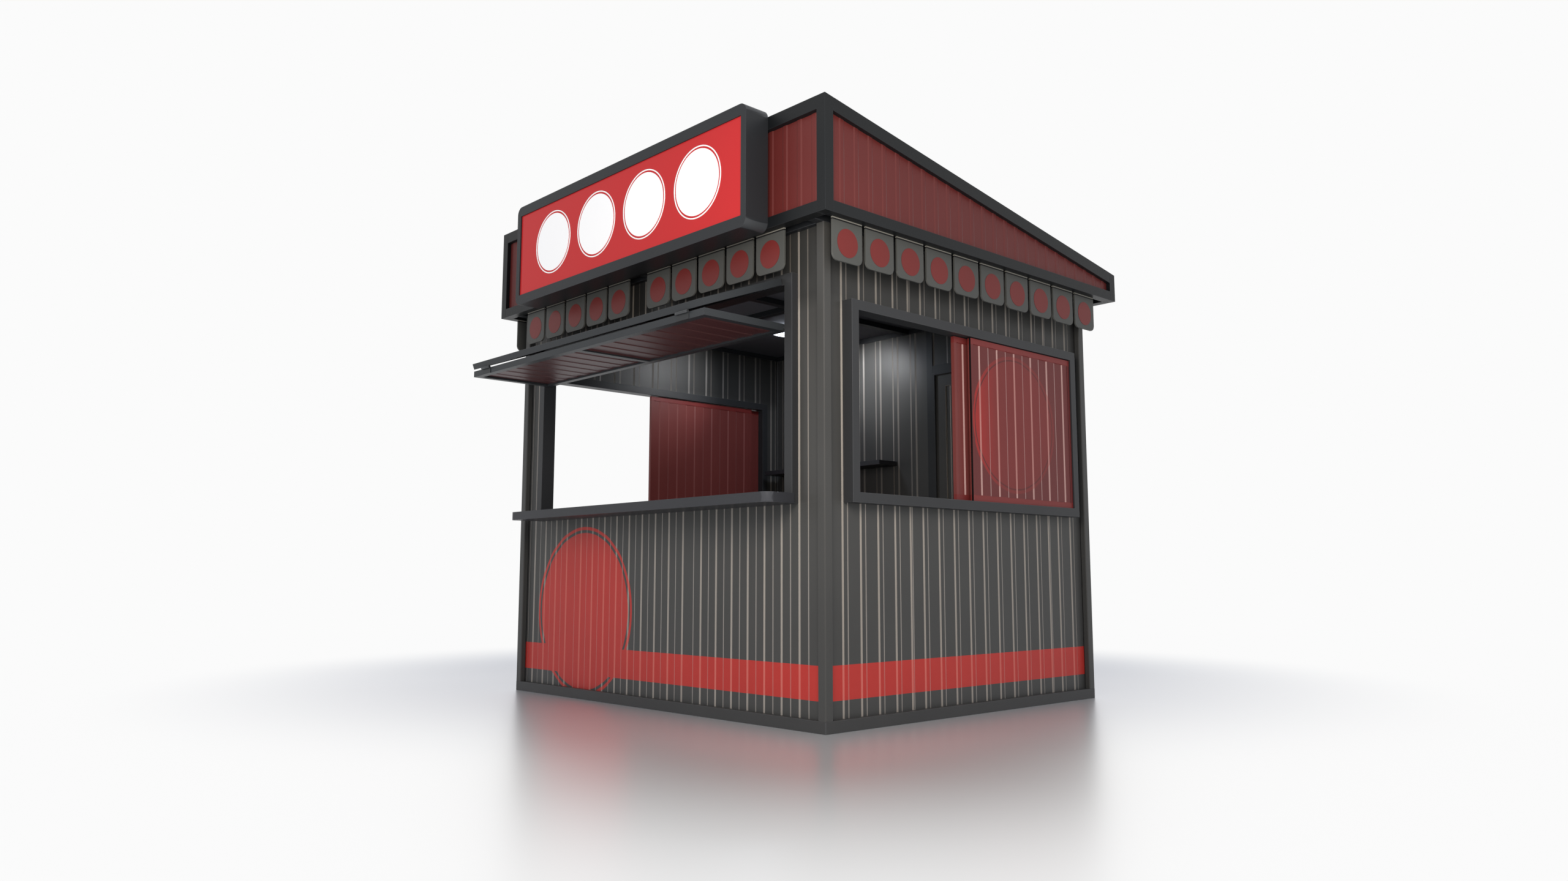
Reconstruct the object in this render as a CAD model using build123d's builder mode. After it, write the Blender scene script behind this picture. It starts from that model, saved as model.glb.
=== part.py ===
"""Street kiosk: a steel-framed serving booth with ribbed cladding and a mono-pitch roof.

The origin is the centre of the footprint at ground level, +Z is up, the serving
hatch faces -Y and +X is to the right for someone who faces the hatch.

Every wall has a frame of its own, at the outer face of the corner posts: u runs to
the right for someone outside who faces that wall, v runs inwards and Z is up. Sizes
are in millimetres and angles in degrees.
"""

from build123d import *
from dataclasses import dataclass, replace
import math
import os

# Footprint and steel frame
WIDTH = 2700
DEPTH = 2210
POST = 50
POST_EDGE = 4
BASE_HEIGHT = 55
BASE_EDGE = 3
FLOOR_THICKNESS = 20
WALL_TOP = 2349

# Ribbed cladding, laid in sheets that lap; it is flat inside below the windows and over the hatch
SHEET_SETBACK = 5
SHEET_RIBS = 9
RIB_DEPTH = 3
RIB_SLANT = 10
FRONT_CREST = 50
FRONT_PITCH = 120.5
FRONT_FIRST_RIB = 424
FRONT_COVER = 1115
SIDE_CREST = 24
SIDE_PITCH = 122.3
SIDE_FIRST_RIB = -388
SIDE_COVER = 1190
SIDE_LAP = 108
LAP_CREST = 4
LINING_CREST = 32
LINING_SLANT = 13
LINING_PITCH = 160
LINING_FIRST_RIB = 105

# Serving hatch in the front wall
HATCH_MARGIN = 258
HATCH_WIDTH = WIDTH - 2 * HATCH_MARGIN
HATCH_HEADER = 2090
HATCH_FRAME_FACE = 53
HATCH_FRAME_DEPTH = 85
HATCH_FRAME_PROUD = 10

# Counter
COUNTER_TOP = 1083
COUNTER_THICKNESS = 48
COUNTER_OVERLAP = 68
COUNTER_LENGTH = HATCH_WIDTH + 2 * COUNTER_OVERLAP
COUNTER_REACH = 185
COUNTER_CORNER = 45

# Folding shutter of the hatch, held open as a canopy
LEAF_SIDE_GAP = 12
LEAF_WIDTH = HATCH_WIDTH - 2 * LEAF_SIDE_GAP
LEAF_THICKNESS = 34
LEAF_TUBE = 38
LEAF_SHEET_SETBACK = 9
UPPER_LEAF_LENGTH = 515
UPPER_LEAF_SLOPE = 20.5
UPPER_LEAF_RISE = 2
UPPER_LEAF_START = HATCH_HEADER + UPPER_LEAF_RISE
UPPER_LEAF_CLEARANCE = 0.3
LOWER_LEAF_DROP = 223
LOWER_LEAF_BOTTOM = HATCH_HEADER - LOWER_LEAF_DROP
LOWER_LEAF_REACH = 492
LOWER_LEAF_TUCK = 20
GUIDE_PIN_RADIUS = 8
FOLD_HINGE_RADIUS = 7
FOLD_HINGE_LENGTH = 90
FOLD_HINGE_PLATE = 3
FOLD_HINGE_CLEARANCE = 1
FOLD_HINGE_RISE = 2
FOLD_HINGE_INSET = 156
FOLD_HINGE_SPACING = LEAF_WIDTH - 2 * FOLD_HINGE_INSET

# Side windows with two sliding leaves each
WINDOW_MARGIN = 154
WINDOW_WIDTH = DEPTH - 2 * WINDOW_MARGIN
WINDOW_BOTTOM = 1037
WINDOW_TOP = 2000
WINDOW_FACE = 48
WINDOW_PROUD = 33
WINDOW_LEAF_OVERLAP = 30
WINDOW_LEAF_WIDTH = WINDOW_WIDTH / 2 - WINDOW_FACE + WINDOW_LEAF_OVERLAP
WINDOW_LEAF_THICKNESS = 20
WINDOW_LEAF_HEADROOM = 4
WINDOW_LEAF_STILE = 22
WINDOW_LEAF_RAIL = 30
WINDOW_SHEET_SETBACK = 1.5
WINDOW_CREST = 69
WINDOW_PITCH = 157
WINDOW_FIRST_RIB = 85
OUTER_LEAF_DEPTH = -22
INNER_LEAF_DEPTH = 12
INNER_LEAF_SHIFT = 98

# Service door in the back wall, hinged at its left edge as seen from outside
DOOR_START = -1030
DOOR_WIDTH = 800
DOOR_TOP = 2050
DOOR_FRAME_FACE = 50
DOOR_STOP_WIDTH = 15
DOOR_STOP_THICKNESS = 10
DOOR_GAP = 5
DOOR_THRESHOLD_GAP = 10
DOOR_LEAF_THICKNESS = 35
DOOR_LEAF_BORDER = 90
DOOR_SHEET_SETBACK = 5
HINGE_RADIUS = 8
HINGE_STANDOFF = 9
HINGE_LENGTH = 60
HINGE_PLATE = 3
HINGE_PLATE_WIDTH = 32
HINGE_AXIAL_GAP = 0.3
HINGE_HEIGHTS = (350, 1050, 1800)
HANDLE_HEIGHT = 1050
HANDLE_BACKSET = 50
HANDLE_LENGTH = 120
HANDLE_REACH = 45
HANDLE_BAR = 16
HANDLE_PLATE = 8
HANDLE_PLATE_WIDTH = 40
HANDLE_PLATE_HEIGHT = 180

# Roof fascia: a ring of square tube around a mono-pitch roof
FASCIA_FRONT = 113
FASCIA_SIDE = 124
FASCIA_BACK = 170
FASCIA_TUBE = 55
FASCIA_TOP_RAIL = 65
FASCIA_FRONT_TOP = 2907
FASCIA_BACK_TOP = 2512.5
INFILL_SETBACK = 22
INFILL_THICKNESS = 18
INFILL_RIB_DEPTH = 2.5
INFILL_CREST = 20
INFILL_SLANT = 8
INFILL_PITCH = 98.5

# Roof and ceiling
ROOF_SHEET = 30
ROOF_DROP = 14
ROOF_RIB_PITCH = 200
ROOF_RIB_DEPTH = 14
ROOF_RIB_SLANT = 14
ROOF_CREST = 30
ROOF_BEAM = 50
ROOF_BEAM_DEPTH = 35
ROOF_BEAM_GAP = 0.3
CEILING_THICKNESS = 15

# Ceiling lamp and inner shelf
LAMP_X = -510
LAMP_Y = 470
LAMP_RADIUS = 150
LAMP_DEPTH = 25
SHELF_START = 100
SHELF_LENGTH = 1150
SHELF_TOP = 1480
SHELF_DEPTH = 180
SHELF_THICKNESS = 30

# Sign box on the front fascia
SIGN_WIDTH = 2132
SIGN_CENTRE = 21
SIGN_DROP = 16
SIGN_RISE = 38
SIGN_BOTTOM = WALL_TOP - SIGN_DROP
SIGN_TOP = FASCIA_FRONT_TOP + SIGN_RISE
SIGN_DEPTH = 141
SIGN_CORNER = 45
SIGN_SIDE_BORDER = 38
SIGN_EDGE_BORDER = 58
SIGN_RECESS = 14
SIGN_FACE_THICKNESS = 6

# Valance tiles under the fascia
TILE_WIDTH = 200
TILE_BOTTOM = 2145
TILE_THICKNESS = 10
TILE_CORNER = 35
TILE_PITCH = 225
FRONT_TILES = 5
FRONT_TILE_GAP = 171
FRONT_TILE_START = -1218
SIDE_TILES = 10
SIDE_TILE_START = -1126
BACK_TILES = 11

# Derived sizes
HALF_WIDTH = WIDTH / 2
HALF_DEPTH = DEPTH / 2
FRONT_INNER = HALF_WIDTH - POST
SIDE_INNER = HALF_DEPTH - POST
COUNTER_BOTTOM = COUNTER_TOP - COUNTER_THICKNESS
HATCH_HALF = HATCH_WIDTH / 2
HATCH_FRAME_HALF = HATCH_HALF + HATCH_FRAME_FACE
HATCH_FRAME_INNER = HATCH_FRAME_DEPTH - HATCH_FRAME_PROUD
HATCH_FRAME_TOP = HATCH_HEADER + HATCH_FRAME_FACE
DOOR_END = DOOR_START + DOOR_WIDTH
DOOR_FRAME_START = DOOR_START - DOOR_FRAME_FACE
DOOR_FRAME_END = DOOR_END + DOOR_FRAME_FACE
DOOR_FRAME_TOP = DOOR_TOP + DOOR_FRAME_FACE
CEILING_BOTTOM = WALL_TOP + ROOF_BEAM_DEPTH
FASCIA_FRONT_Y = -HALF_DEPTH - FASCIA_FRONT
FASCIA_BACK_Y = HALF_DEPTH + FASCIA_BACK
FASCIA_SIDE_X = HALF_WIDTH + FASCIA_SIDE
ROOF_FALL = (FASCIA_FRONT_TOP - FASCIA_BACK_TOP) / (FASCIA_BACK_Y - FASCIA_FRONT_Y)
ROOF_DIRECTION = Vector(0, 1, -ROOF_FALL).normalized()
ROOF_NORMAL = Vector(0, ROOF_FALL, 1).normalized()
ROOF_PLANE = Plane((0, FASCIA_FRONT_Y, FASCIA_FRONT_TOP), x_dir=(1, 0, 0), z_dir=ROOF_NORMAL)
RAIL_PLANE = Plane(
    (0, FASCIA_FRONT_Y, FASCIA_FRONT_TOP - FASCIA_TOP_RAIL), x_dir=(1, 0, 0), z_dir=ROOF_NORMAL
)

# Where each wall starts, which way it runs, and how far the fascia stands out from it
WALLS = {
    "front": ((0, -HALF_DEPTH), (1, 0, 0)),
    "right": ((HALF_WIDTH, 0), (0, 1, 0)),
    "back": ((0, HALF_DEPTH), (-1, 0, 0)),
    "left": ((-HALF_WIDTH, 0), (0, -1, 0)),
}
OVERHANGS = {
    "front": FASCIA_FRONT,
    "right": FASCIA_SIDE,
    "back": FASCIA_BACK,
    "left": FASCIA_SIDE,
}

os.makedirs("parts", exist_ok=True)


def keep(builder, label):
    """Label a finished piece and write its STEP file."""
    builder.part.label = label
    export_step(builder.part, f"parts/{label}.step")


def wall_plan(side, height):
    """Level plane of a wall: u along it, v inwards."""
    (x, y), along = WALLS[side]
    return Plane(origin=(x, y, height), x_dir=along, z_dir=(0, 0, 1))


def wall_face(side, depth):
    """Upright plane at a depth behind a wall's outer face: u along it, Z up."""
    plan = wall_plan(side, 0)
    origin = plan.from_local_coords((0, depth, 0))
    return Plane(origin=origin, x_dir=plan.x_dir, z_dir=-plan.y_dir)


def block(start, end, outer, inner):
    """Rectangle from start to end along a sketch's first axis, outer to inner along its second."""
    with BuildSketch() as plan:
        with Locations(((start + end) / 2, (outer + inner) / 2)):
            Rectangle(end - start, inner - outer)
    return plan.sketch


@dataclass(frozen=True)
class Ribs:
    """Trapezoid ribs of a sheet, and how lengths of the sheet follow each other."""

    crest: float
    slant: float
    depth: float
    pitch: float
    first: float = 0
    count: int = 1
    cover: float = 0
    lap: float = 0

    def places(self, start, end):
        """Centre and crest width of the ribs on the sheets that a stretch of wall meets."""
        cover = self.cover or self.pitch
        before = math.floor((start - self.first) / cover)
        after = math.ceil((end - self.first) / cover)
        ribs = []
        for number in range(before, after + 1):
            sheet_start = self.first + number * cover
            if self.lap:
                ribs.append((sheet_start - self.lap, LAP_CREST))
            for rib in range(self.count):
                ribs.append((sheet_start + rib * self.pitch, self.crest))
        return ribs


FRONT_RIBS = Ribs(
    FRONT_CREST, RIB_SLANT, RIB_DEPTH, FRONT_PITCH, FRONT_FIRST_RIB, SHEET_RIBS, FRONT_COVER
)
SIDE_RIBS = Ribs(
    SIDE_CREST, RIB_SLANT, RIB_DEPTH, SIDE_PITCH, SIDE_FIRST_RIB, SHEET_RIBS, SIDE_COVER, SIDE_LAP
)
LINING_RIBS = Ribs(LINING_CREST, LINING_SLANT, RIB_DEPTH, LINING_PITCH, LINING_FIRST_RIB)
CLADDING = {"front": FRONT_RIBS, "right": SIDE_RIBS, "back": FRONT_RIBS, "left": SIDE_RIBS}


def rib_line(start, end, crest_level, ribs, inwards=1):
    """Points of a ribbed face from start to end; its valleys lie inwards of its crests."""
    places = ribs.places(start, end)
    drop = inwards * ribs.depth

    def level(place):
        centre, crest = min(places, key=lambda rib: abs(place - rib[0]) - rib[1] / 2)
        down = (abs(place - centre) - crest / 2) / ribs.slant
        return crest_level + drop * min(max(down, 0), 1)

    points = [(start, level(start))]
    for centre, crest in places:
        foot = crest / 2 + ribs.slant
        for place in (centre - foot, centre - crest / 2, centre + crest / 2, centre + foot):
            if start < place < end:
                points.append((place, level(place)))
    points.append((end, level(end)))
    return points


def ribbed(start, end, outer, inner, outside, lining=None):
    """Plan of a panel between two crest levels: ribs outside and a ribbed or flat lining."""
    inner_line = [(start, inner), (end, inner)]
    if lining:
        inner_line = rib_line(start, end, inner, lining, -1)
    with BuildSketch() as plan:
        with BuildLine():
            Polyline(*rib_line(start, end, outer, outside), *reversed(inner_line), close=True)
        make_face()
    return plan.sketch


def wall_panel(label, side, spans, bottom, top, lining=LINING_RIBS):
    """Upright cladding of a wall between two heights, one panel for each span."""
    faces = (SHEET_SETBACK, POST - SHEET_SETBACK)
    with BuildPart() as panel:
        with BuildSketch(wall_plan(side, bottom)):
            for start, end in spans:
                add(ribbed(start, end, *faces, CLADDING[side], lining))
        extrude(amount=top - bottom)
    keep(panel, label)


def roof_height(y):
    """Height of the roof plane, which the fascia's top follows, at a place along Y."""
    return FASCIA_FRONT_TOP - (y - FASCIA_FRONT_Y) * ROOF_FALL


# Floor: a closed cassette that the whole kiosk stands on, and the deck on it
with BuildPart() as base_frame:
    with BuildSketch():
        base_outline = Rectangle(WIDTH, DEPTH)
        chamfer(base_outline.vertices(), BASE_EDGE)
    extrude(amount=BASE_HEIGHT)
keep(base_frame, "base_frame")

with BuildPart() as floor_panel:
    with BuildSketch(Plane.XY.offset(BASE_HEIGHT)):
        Rectangle(WIDTH - 2 * POST, DEPTH - 2 * POST)
    extrude(amount=FLOOR_THICKNESS)
keep(floor_panel, "floor_panel")

# Corner posts of square tube
with BuildPart() as corner_posts:
    with BuildSketch(Plane.XY.offset(BASE_HEIGHT)):
        with GridLocations(WIDTH - POST, DEPTH - POST, 2, 2):
            post_outlines = Rectangle(POST, POST)
        chamfer(post_outlines.vertices(), POST_EDGE)
    extrude(amount=WALL_TOP - BASE_HEIGHT)
keep(corner_posts, "corner_posts")

# Front wall: below the counter, beside the hatch and over it
FRONT_SPAN = (-FRONT_INNER, FRONT_INNER)
LEFT_PIER = (-FRONT_INNER, -HATCH_FRAME_HALF)
RIGHT_PIER = (HATCH_FRAME_HALF, FRONT_INNER)
wall_panel("front_lower_wall", "front", [FRONT_SPAN], BASE_HEIGHT, COUNTER_BOTTOM, None)
wall_panel("front_left_pier", "front", [LEFT_PIER], COUNTER_BOTTOM, HATCH_FRAME_TOP)
wall_panel("front_right_pier", "front", [RIGHT_PIER], COUNTER_BOTTOM, HATCH_FRAME_TOP)
wall_panel("front_upper_wall", "front", [FRONT_SPAN], HATCH_FRAME_TOP, WALL_TOP, None)

# Side walls: below the window, beside it and over it
SIDE_SPAN = (-SIDE_INNER, SIDE_INNER)
SIDE_PIERS = [(-SIDE_INNER, -WINDOW_WIDTH / 2), (WINDOW_WIDTH / 2, SIDE_INNER)]
for side in ("right", "left"):
    wall_panel(f"{side}_lower_wall", side, [SIDE_SPAN], BASE_HEIGHT, WINDOW_BOTTOM, None)
    wall_panel(f"{side}_wall_piers", side, SIDE_PIERS, WINDOW_BOTTOM, WINDOW_TOP)
    wall_panel(f"{side}_upper_wall", side, [SIDE_SPAN], WINDOW_TOP, WALL_TOP)

# Back wall: beside the door and over it
HINGE_PIER = (-FRONT_INNER, DOOR_FRAME_START)
LATCH_PIER = (DOOR_FRAME_END, FRONT_INNER)
wall_panel("back_wall_hinge_side", "back", [HINGE_PIER], BASE_HEIGHT, WALL_TOP)
wall_panel("back_wall_latch_side", "back", [LATCH_PIER], BASE_HEIGHT, WALL_TOP)
wall_panel("back_wall_over_door", "back", [(DOOR_START, DOOR_END)], DOOR_FRAME_TOP, WALL_TOP)

# Frame of the serving hatch: two jambs and a header that stand on the lower wall
with BuildPart() as hatch_frame:
    with BuildSketch(wall_face("front", -HATCH_FRAME_PROUD)):
        add(block(-HATCH_FRAME_HALF, HATCH_FRAME_HALF, COUNTER_BOTTOM, HATCH_FRAME_TOP))
        add(block(-HATCH_HALF, HATCH_HALF, COUNTER_BOTTOM, HATCH_HEADER), mode=Mode.SUBTRACT)
    extrude(amount=-HATCH_FRAME_DEPTH)
keep(hatch_frame, "hatch_frame")

# Counter: a shelf in front of the wall with a tongue that lies between the jambs
with BuildPart() as counter_shelf:
    with BuildSketch(wall_plan("front", COUNTER_BOTTOM)):
        add(block(-COUNTER_LENGTH / 2, COUNTER_LENGTH / 2, -COUNTER_REACH, -HATCH_FRAME_PROUD))
        add(block(-HATCH_HALF, HATCH_HALF, -HATCH_FRAME_PROUD, HATCH_FRAME_INNER))
    extrude(amount=COUNTER_THICKNESS)
    front_corners = counter_shelf.edges().filter_by(Axis.Z).group_by(Axis.Y)[0]
    fillet(front_corners, COUNTER_CORNER)
keep(counter_shelf, "counter_shelf")


# Shutter: each leaf is a tube frame with a centre member, closed by a ribbed sheet
LEAF_RIBS = Ribs(FRONT_CREST, RIB_SLANT, RIB_DEPTH, FRONT_PITCH)


def leaf_frame(length):
    """Outline of a leaf's tube frame, from its hinged edge along the second axis."""
    bay_width = (LEAF_WIDTH - 3 * LEAF_TUBE) / 2
    with BuildSketch() as outline:
        with Locations((0, length / 2)):
            Rectangle(LEAF_WIDTH, length)
            with GridLocations(bay_width + LEAF_TUBE, 0, 2, 1):
                Rectangle(bay_width, length - 2 * LEAF_TUBE, mode=Mode.SUBTRACT)
    return outline.sketch


def leaf_section():
    """Section of a leaf's sheet, across the leaf; it has ribs on both faces."""
    half = LEAF_WIDTH / 2 - LEAF_TUBE
    bottom = LEAF_THICKNESS - LEAF_SHEET_SETBACK
    return ribbed(-half, half, LEAF_SHEET_SETBACK, bottom, LEAF_RIBS, LEAF_RIBS)


def leaf_planes(start, slope):
    """Planes of a leaf that starts at a point (y, z) and falls outwards by a slope."""
    angle = math.radians(slope)
    outwards = Vector(0, -math.cos(angle), -math.sin(angle))
    across = Vector(-1, 0, 0)
    face = Plane((0, *start), x_dir=across, z_dir=across.cross(outwards))
    section = Plane(face.from_local_coords((0, LEAF_TUBE, LEAF_THICKNESS)), x_dir=across, z_dir=outwards)
    return face, section


UPPER_LEAF_Y = -HALF_DEPTH - HATCH_FRAME_PROUD - UPPER_LEAF_CLEARANCE
LOWER_LEAF_Y = -HALF_DEPTH + LOWER_LEAF_TUCK
LOWER_LEAF_LENGTH = LOWER_LEAF_REACH + LOWER_LEAF_TUCK

upper_face, upper_section = leaf_planes((UPPER_LEAF_Y, UPPER_LEAF_START), UPPER_LEAF_SLOPE)
with BuildPart() as hatch_upper_leaf:
    with BuildSketch(upper_face):
        add(leaf_frame(UPPER_LEAF_LENGTH))
    extrude(amount=LEAF_THICKNESS)
    with BuildSketch(upper_section):
        add(leaf_section())
    extrude(amount=UPPER_LEAF_LENGTH - 2 * LEAF_TUBE)
keep(hatch_upper_leaf, "hatch_upper_leaf")

lower_face, lower_section = leaf_planes((LOWER_LEAF_Y, LOWER_LEAF_BOTTOM), 0)
with BuildPart() as hatch_lower_leaf:
    with BuildSketch(lower_face):
        add(leaf_frame(LOWER_LEAF_LENGTH))
    extrude(amount=LEAF_THICKNESS)
    with BuildSketch(lower_section):
        add(leaf_section())
    extrude(amount=LOWER_LEAF_LENGTH - 2 * LEAF_TUBE)
    pin_height = LOWER_LEAF_BOTTOM + LEAF_THICKNESS / 2
    pin_length = HATCH_HALF - LEAF_WIDTH / 2
    for pin_start in (LEAF_WIDTH / 2, -HATCH_HALF):
        with BuildSketch(Plane.YZ.offset(pin_start)):
            with Locations((-HALF_DEPTH, pin_height)):
                Circle(GUIDE_PIN_RADIUS)
        extrude(amount=pin_length)
keep(hatch_lower_leaf, "hatch_lower_leaf")

# Fold hinges: a barrel along the fold on a plate that lies on the lower leaf's front edge
FOLD_Y = -HALF_DEPTH - LOWER_LEAF_REACH
FOLD_Z = LOWER_LEAF_BOTTOM + LEAF_THICKNESS
BARREL_Y = FOLD_Y - FOLD_HINGE_RADIUS - FOLD_HINGE_CLEARANCE
BARREL_Z = FOLD_Z + FOLD_HINGE_RISE
with BuildPart() as hatch_hinges:
    for middle in (-FOLD_HINGE_SPACING / 2, FOLD_HINGE_SPACING / 2):
        with BuildSketch(Plane.YZ.offset(middle - FOLD_HINGE_LENGTH / 2)):
            with Locations((BARREL_Y, BARREL_Z)):
                Circle(FOLD_HINGE_RADIUS)
            add(block(FOLD_Y - FOLD_HINGE_PLATE, FOLD_Y, LOWER_LEAF_BOTTOM, FOLD_Z))
        extrude(amount=FOLD_HINGE_LENGTH)
keep(hatch_hinges, "hatch_hinges")

# Side windows: a frame that stands proud of the cladding, and two leaves that slide in it
WINDOW_HALF = WINDOW_WIDTH / 2
SASH_HALF = WINDOW_HALF - WINDOW_FACE
SASH_BOTTOM = WINDOW_BOTTOM + WINDOW_FACE
SASH_TOP = WINDOW_TOP - WINDOW_FACE
PANE_BOTTOM = SASH_BOTTOM + WINDOW_LEAF_RAIL
PANE_TOP = SASH_TOP - WINDOW_LEAF_HEADROOM - WINDOW_LEAF_RAIL
WINDOW_RIBS = Ribs(WINDOW_CREST, RIB_SLANT, RIB_DEPTH, WINDOW_PITCH)


def window_leaf(side, edge, outer):
    """Solids of a window leaf, from its edge nearest the back and its outer face."""
    rearwards = 1 if side == "right" else -1
    start, end = sorted((rearwards * edge, rearwards * (edge - WINDOW_LEAF_WIDTH)))
    pane_start = start + WINDOW_LEAF_STILE
    pane_end = end - WINDOW_LEAF_STILE
    first_rib = rearwards * (WINDOW_FIRST_RIB + edge - SASH_HALF)
    ribs = replace(WINDOW_RIBS, first=first_rib)
    pane_outer = outer + WINDOW_SHEET_SETBACK
    pane_inner = outer + WINDOW_LEAF_THICKNESS - WINDOW_SHEET_SETBACK
    with BuildPart() as leaf:
        with BuildSketch(wall_face(side, outer)):
            add(block(start, end, SASH_BOTTOM, SASH_TOP - WINDOW_LEAF_HEADROOM))
            add(block(pane_start, pane_end, PANE_BOTTOM, PANE_TOP), mode=Mode.SUBTRACT)
        extrude(amount=-WINDOW_LEAF_THICKNESS)
        with BuildSketch(wall_plan(side, PANE_BOTTOM)):
            add(ribbed(pane_start, pane_end, pane_outer, pane_inner, ribs, ribs))
        extrude(amount=PANE_TOP - PANE_BOTTOM)
    return leaf.part


for side in ("right", "left"):
    with BuildPart() as window_frame:
        with BuildSketch(wall_face(side, -WINDOW_PROUD)):
            add(block(-WINDOW_HALF, WINDOW_HALF, WINDOW_BOTTOM, WINDOW_TOP))
            add(block(-SASH_HALF, SASH_HALF, SASH_BOTTOM, SASH_TOP), mode=Mode.SUBTRACT)
        extrude(amount=-(WINDOW_PROUD + POST))
    keep(window_frame, f"{side}_window_frame")

    with BuildPart() as window_leaves:
        add(window_leaf(side, SASH_HALF, OUTER_LEAF_DEPTH))
        add(window_leaf(side, SASH_HALF - INNER_LEAF_SHIFT, INNER_LEAF_DEPTH))
    keep(window_leaves, f"{side}_window_leaves")

# Door frame: two jambs up to the wall's top and a lintel between them, each with a stop
STOP_OUTER = POST - DOOR_STOP_THICKNESS
with BuildPart() as door_jambs:
    with BuildSketch(wall_plan("back", BASE_HEIGHT)):
        add(block(DOOR_FRAME_START, DOOR_START, 0, POST))
        add(block(DOOR_END, DOOR_FRAME_END, 0, POST))
    extrude(amount=WALL_TOP - BASE_HEIGHT)
    with BuildSketch(wall_plan("back", BASE_HEIGHT)):
        add(block(DOOR_START, DOOR_START + DOOR_STOP_WIDTH, STOP_OUTER, POST))
        add(block(DOOR_END - DOOR_STOP_WIDTH, DOOR_END, STOP_OUTER, POST))
    extrude(amount=DOOR_TOP - BASE_HEIGHT)
keep(door_jambs, "door_jambs")

with BuildPart() as door_lintel:
    with BuildSketch(wall_plan("back", DOOR_TOP)):
        add(block(DOOR_START, DOOR_END, 0, POST))
    extrude(amount=DOOR_FRAME_FACE)
    with BuildSketch(wall_plan("back", DOOR_TOP)):
        stop_reach = DOOR_START + DOOR_STOP_WIDTH
        add(block(stop_reach, DOOR_END - DOOR_STOP_WIDTH, STOP_OUTER, POST))
    extrude(amount=-DOOR_STOP_WIDTH)
keep(door_lintel, "door_lintel")

# Door leaf: a flat border round a sheet with ribs on both faces
LEAF_START = DOOR_START + DOOR_GAP
LEAF_END = DOOR_END - DOOR_GAP
DOOR_LEAF_BOTTOM = BASE_HEIGHT + DOOR_THRESHOLD_GAP
DOOR_LEAF_HEIGHT = DOOR_TOP - DOOR_GAP - DOOR_LEAF_BOTTOM
SHEET_START = LEAF_START + DOOR_LEAF_BORDER
SHEET_END = LEAF_END - DOOR_LEAF_BORDER
SHEET_BOTTOM = DOOR_LEAF_BOTTOM + DOOR_LEAF_BORDER
SHEET_HEIGHT = DOOR_LEAF_HEIGHT - 2 * DOOR_LEAF_BORDER
DOOR_RIBS = Ribs(FRONT_CREST, RIB_SLANT, RIB_DEPTH, FRONT_PITCH, (SHEET_START + SHEET_END) / 2)
with BuildPart() as door_leaf:
    with BuildSketch(wall_face("back", 0)):
        add(block(LEAF_START, LEAF_END, DOOR_LEAF_BOTTOM, DOOR_LEAF_BOTTOM + DOOR_LEAF_HEIGHT))
        sheet_area = block(SHEET_START, SHEET_END, SHEET_BOTTOM, SHEET_BOTTOM + SHEET_HEIGHT)
        add(sheet_area, mode=Mode.SUBTRACT)
    extrude(amount=-DOOR_LEAF_THICKNESS)
    with BuildSketch(wall_plan("back", SHEET_BOTTOM)):
        inner = DOOR_LEAF_THICKNESS - DOOR_SHEET_SETBACK
        sheet_faces = (DOOR_SHEET_SETBACK, inner)
        add(ribbed(SHEET_START, SHEET_END, *sheet_faces, DOOR_RIBS, DOOR_RIBS))
    extrude(amount=SHEET_HEIGHT)
keep(door_leaf, "door_leaf")

# Lift-off hinges: the lower half is welded to the jamb and the upper half to the leaf
HINGE_U = DOOR_START + DOOR_GAP / 2


def hinge_half(bottom, plate_start, plate_end):
    """Solids of one half of each hinge: a barrel and the plate that holds it."""
    with BuildPart() as half:
        for height in HINGE_HEIGHTS:
            with BuildSketch(wall_plan("back", height + bottom)):
                with Locations((HINGE_U, -HINGE_STANDOFF)):
                    Circle(HINGE_RADIUS)
                add(block(plate_start, plate_end, -HINGE_PLATE, 0))
            extrude(amount=HINGE_LENGTH)
    return half


hinge_pins = hinge_half(-HINGE_LENGTH, HINGE_U - HINGE_PLATE_WIDTH, HINGE_U - DOOR_GAP / 2)
keep(hinge_pins, "door_hinge_pins")
hinge_sleeves = hinge_half(HINGE_AXIAL_GAP, HINGE_U + DOOR_GAP / 2, HINGE_U + HINGE_PLATE_WIDTH)
keep(hinge_sleeves, "door_hinge_sleeves")

# Door handles: a plate and a lever on each face of the leaf
HANDLE_U = LEAF_END - HANDLE_BACKSET
with BuildPart() as door_handles:
    for depth, outwards in ((0, 1), (DOOR_LEAF_THICKNESS, -1)):
        with BuildSketch(wall_face("back", depth)):
            with Locations((HANDLE_U, HANDLE_HEIGHT)):
                Rectangle(HANDLE_PLATE_WIDTH, HANDLE_PLATE_HEIGHT)
        extrude(amount=outwards * HANDLE_PLATE)
        with BuildSketch(wall_face("back", depth)):
            with Locations((HANDLE_U, HANDLE_HEIGHT)):
                Circle(HANDLE_BAR / 2)
        extrude(amount=outwards * HANDLE_REACH)
        with BuildSketch(wall_face("back", depth - outwards * (HANDLE_REACH - HANDLE_BAR / 2))):
            with Locations((HANDLE_U - HANDLE_LENGTH / 2 + HANDLE_BAR / 2, HANDLE_HEIGHT)):
                Rectangle(HANDLE_LENGTH, HANDLE_BAR)
        extrude(amount=outwards * HANDLE_BAR / 2)
keep(door_handles, "door_handles")


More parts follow.
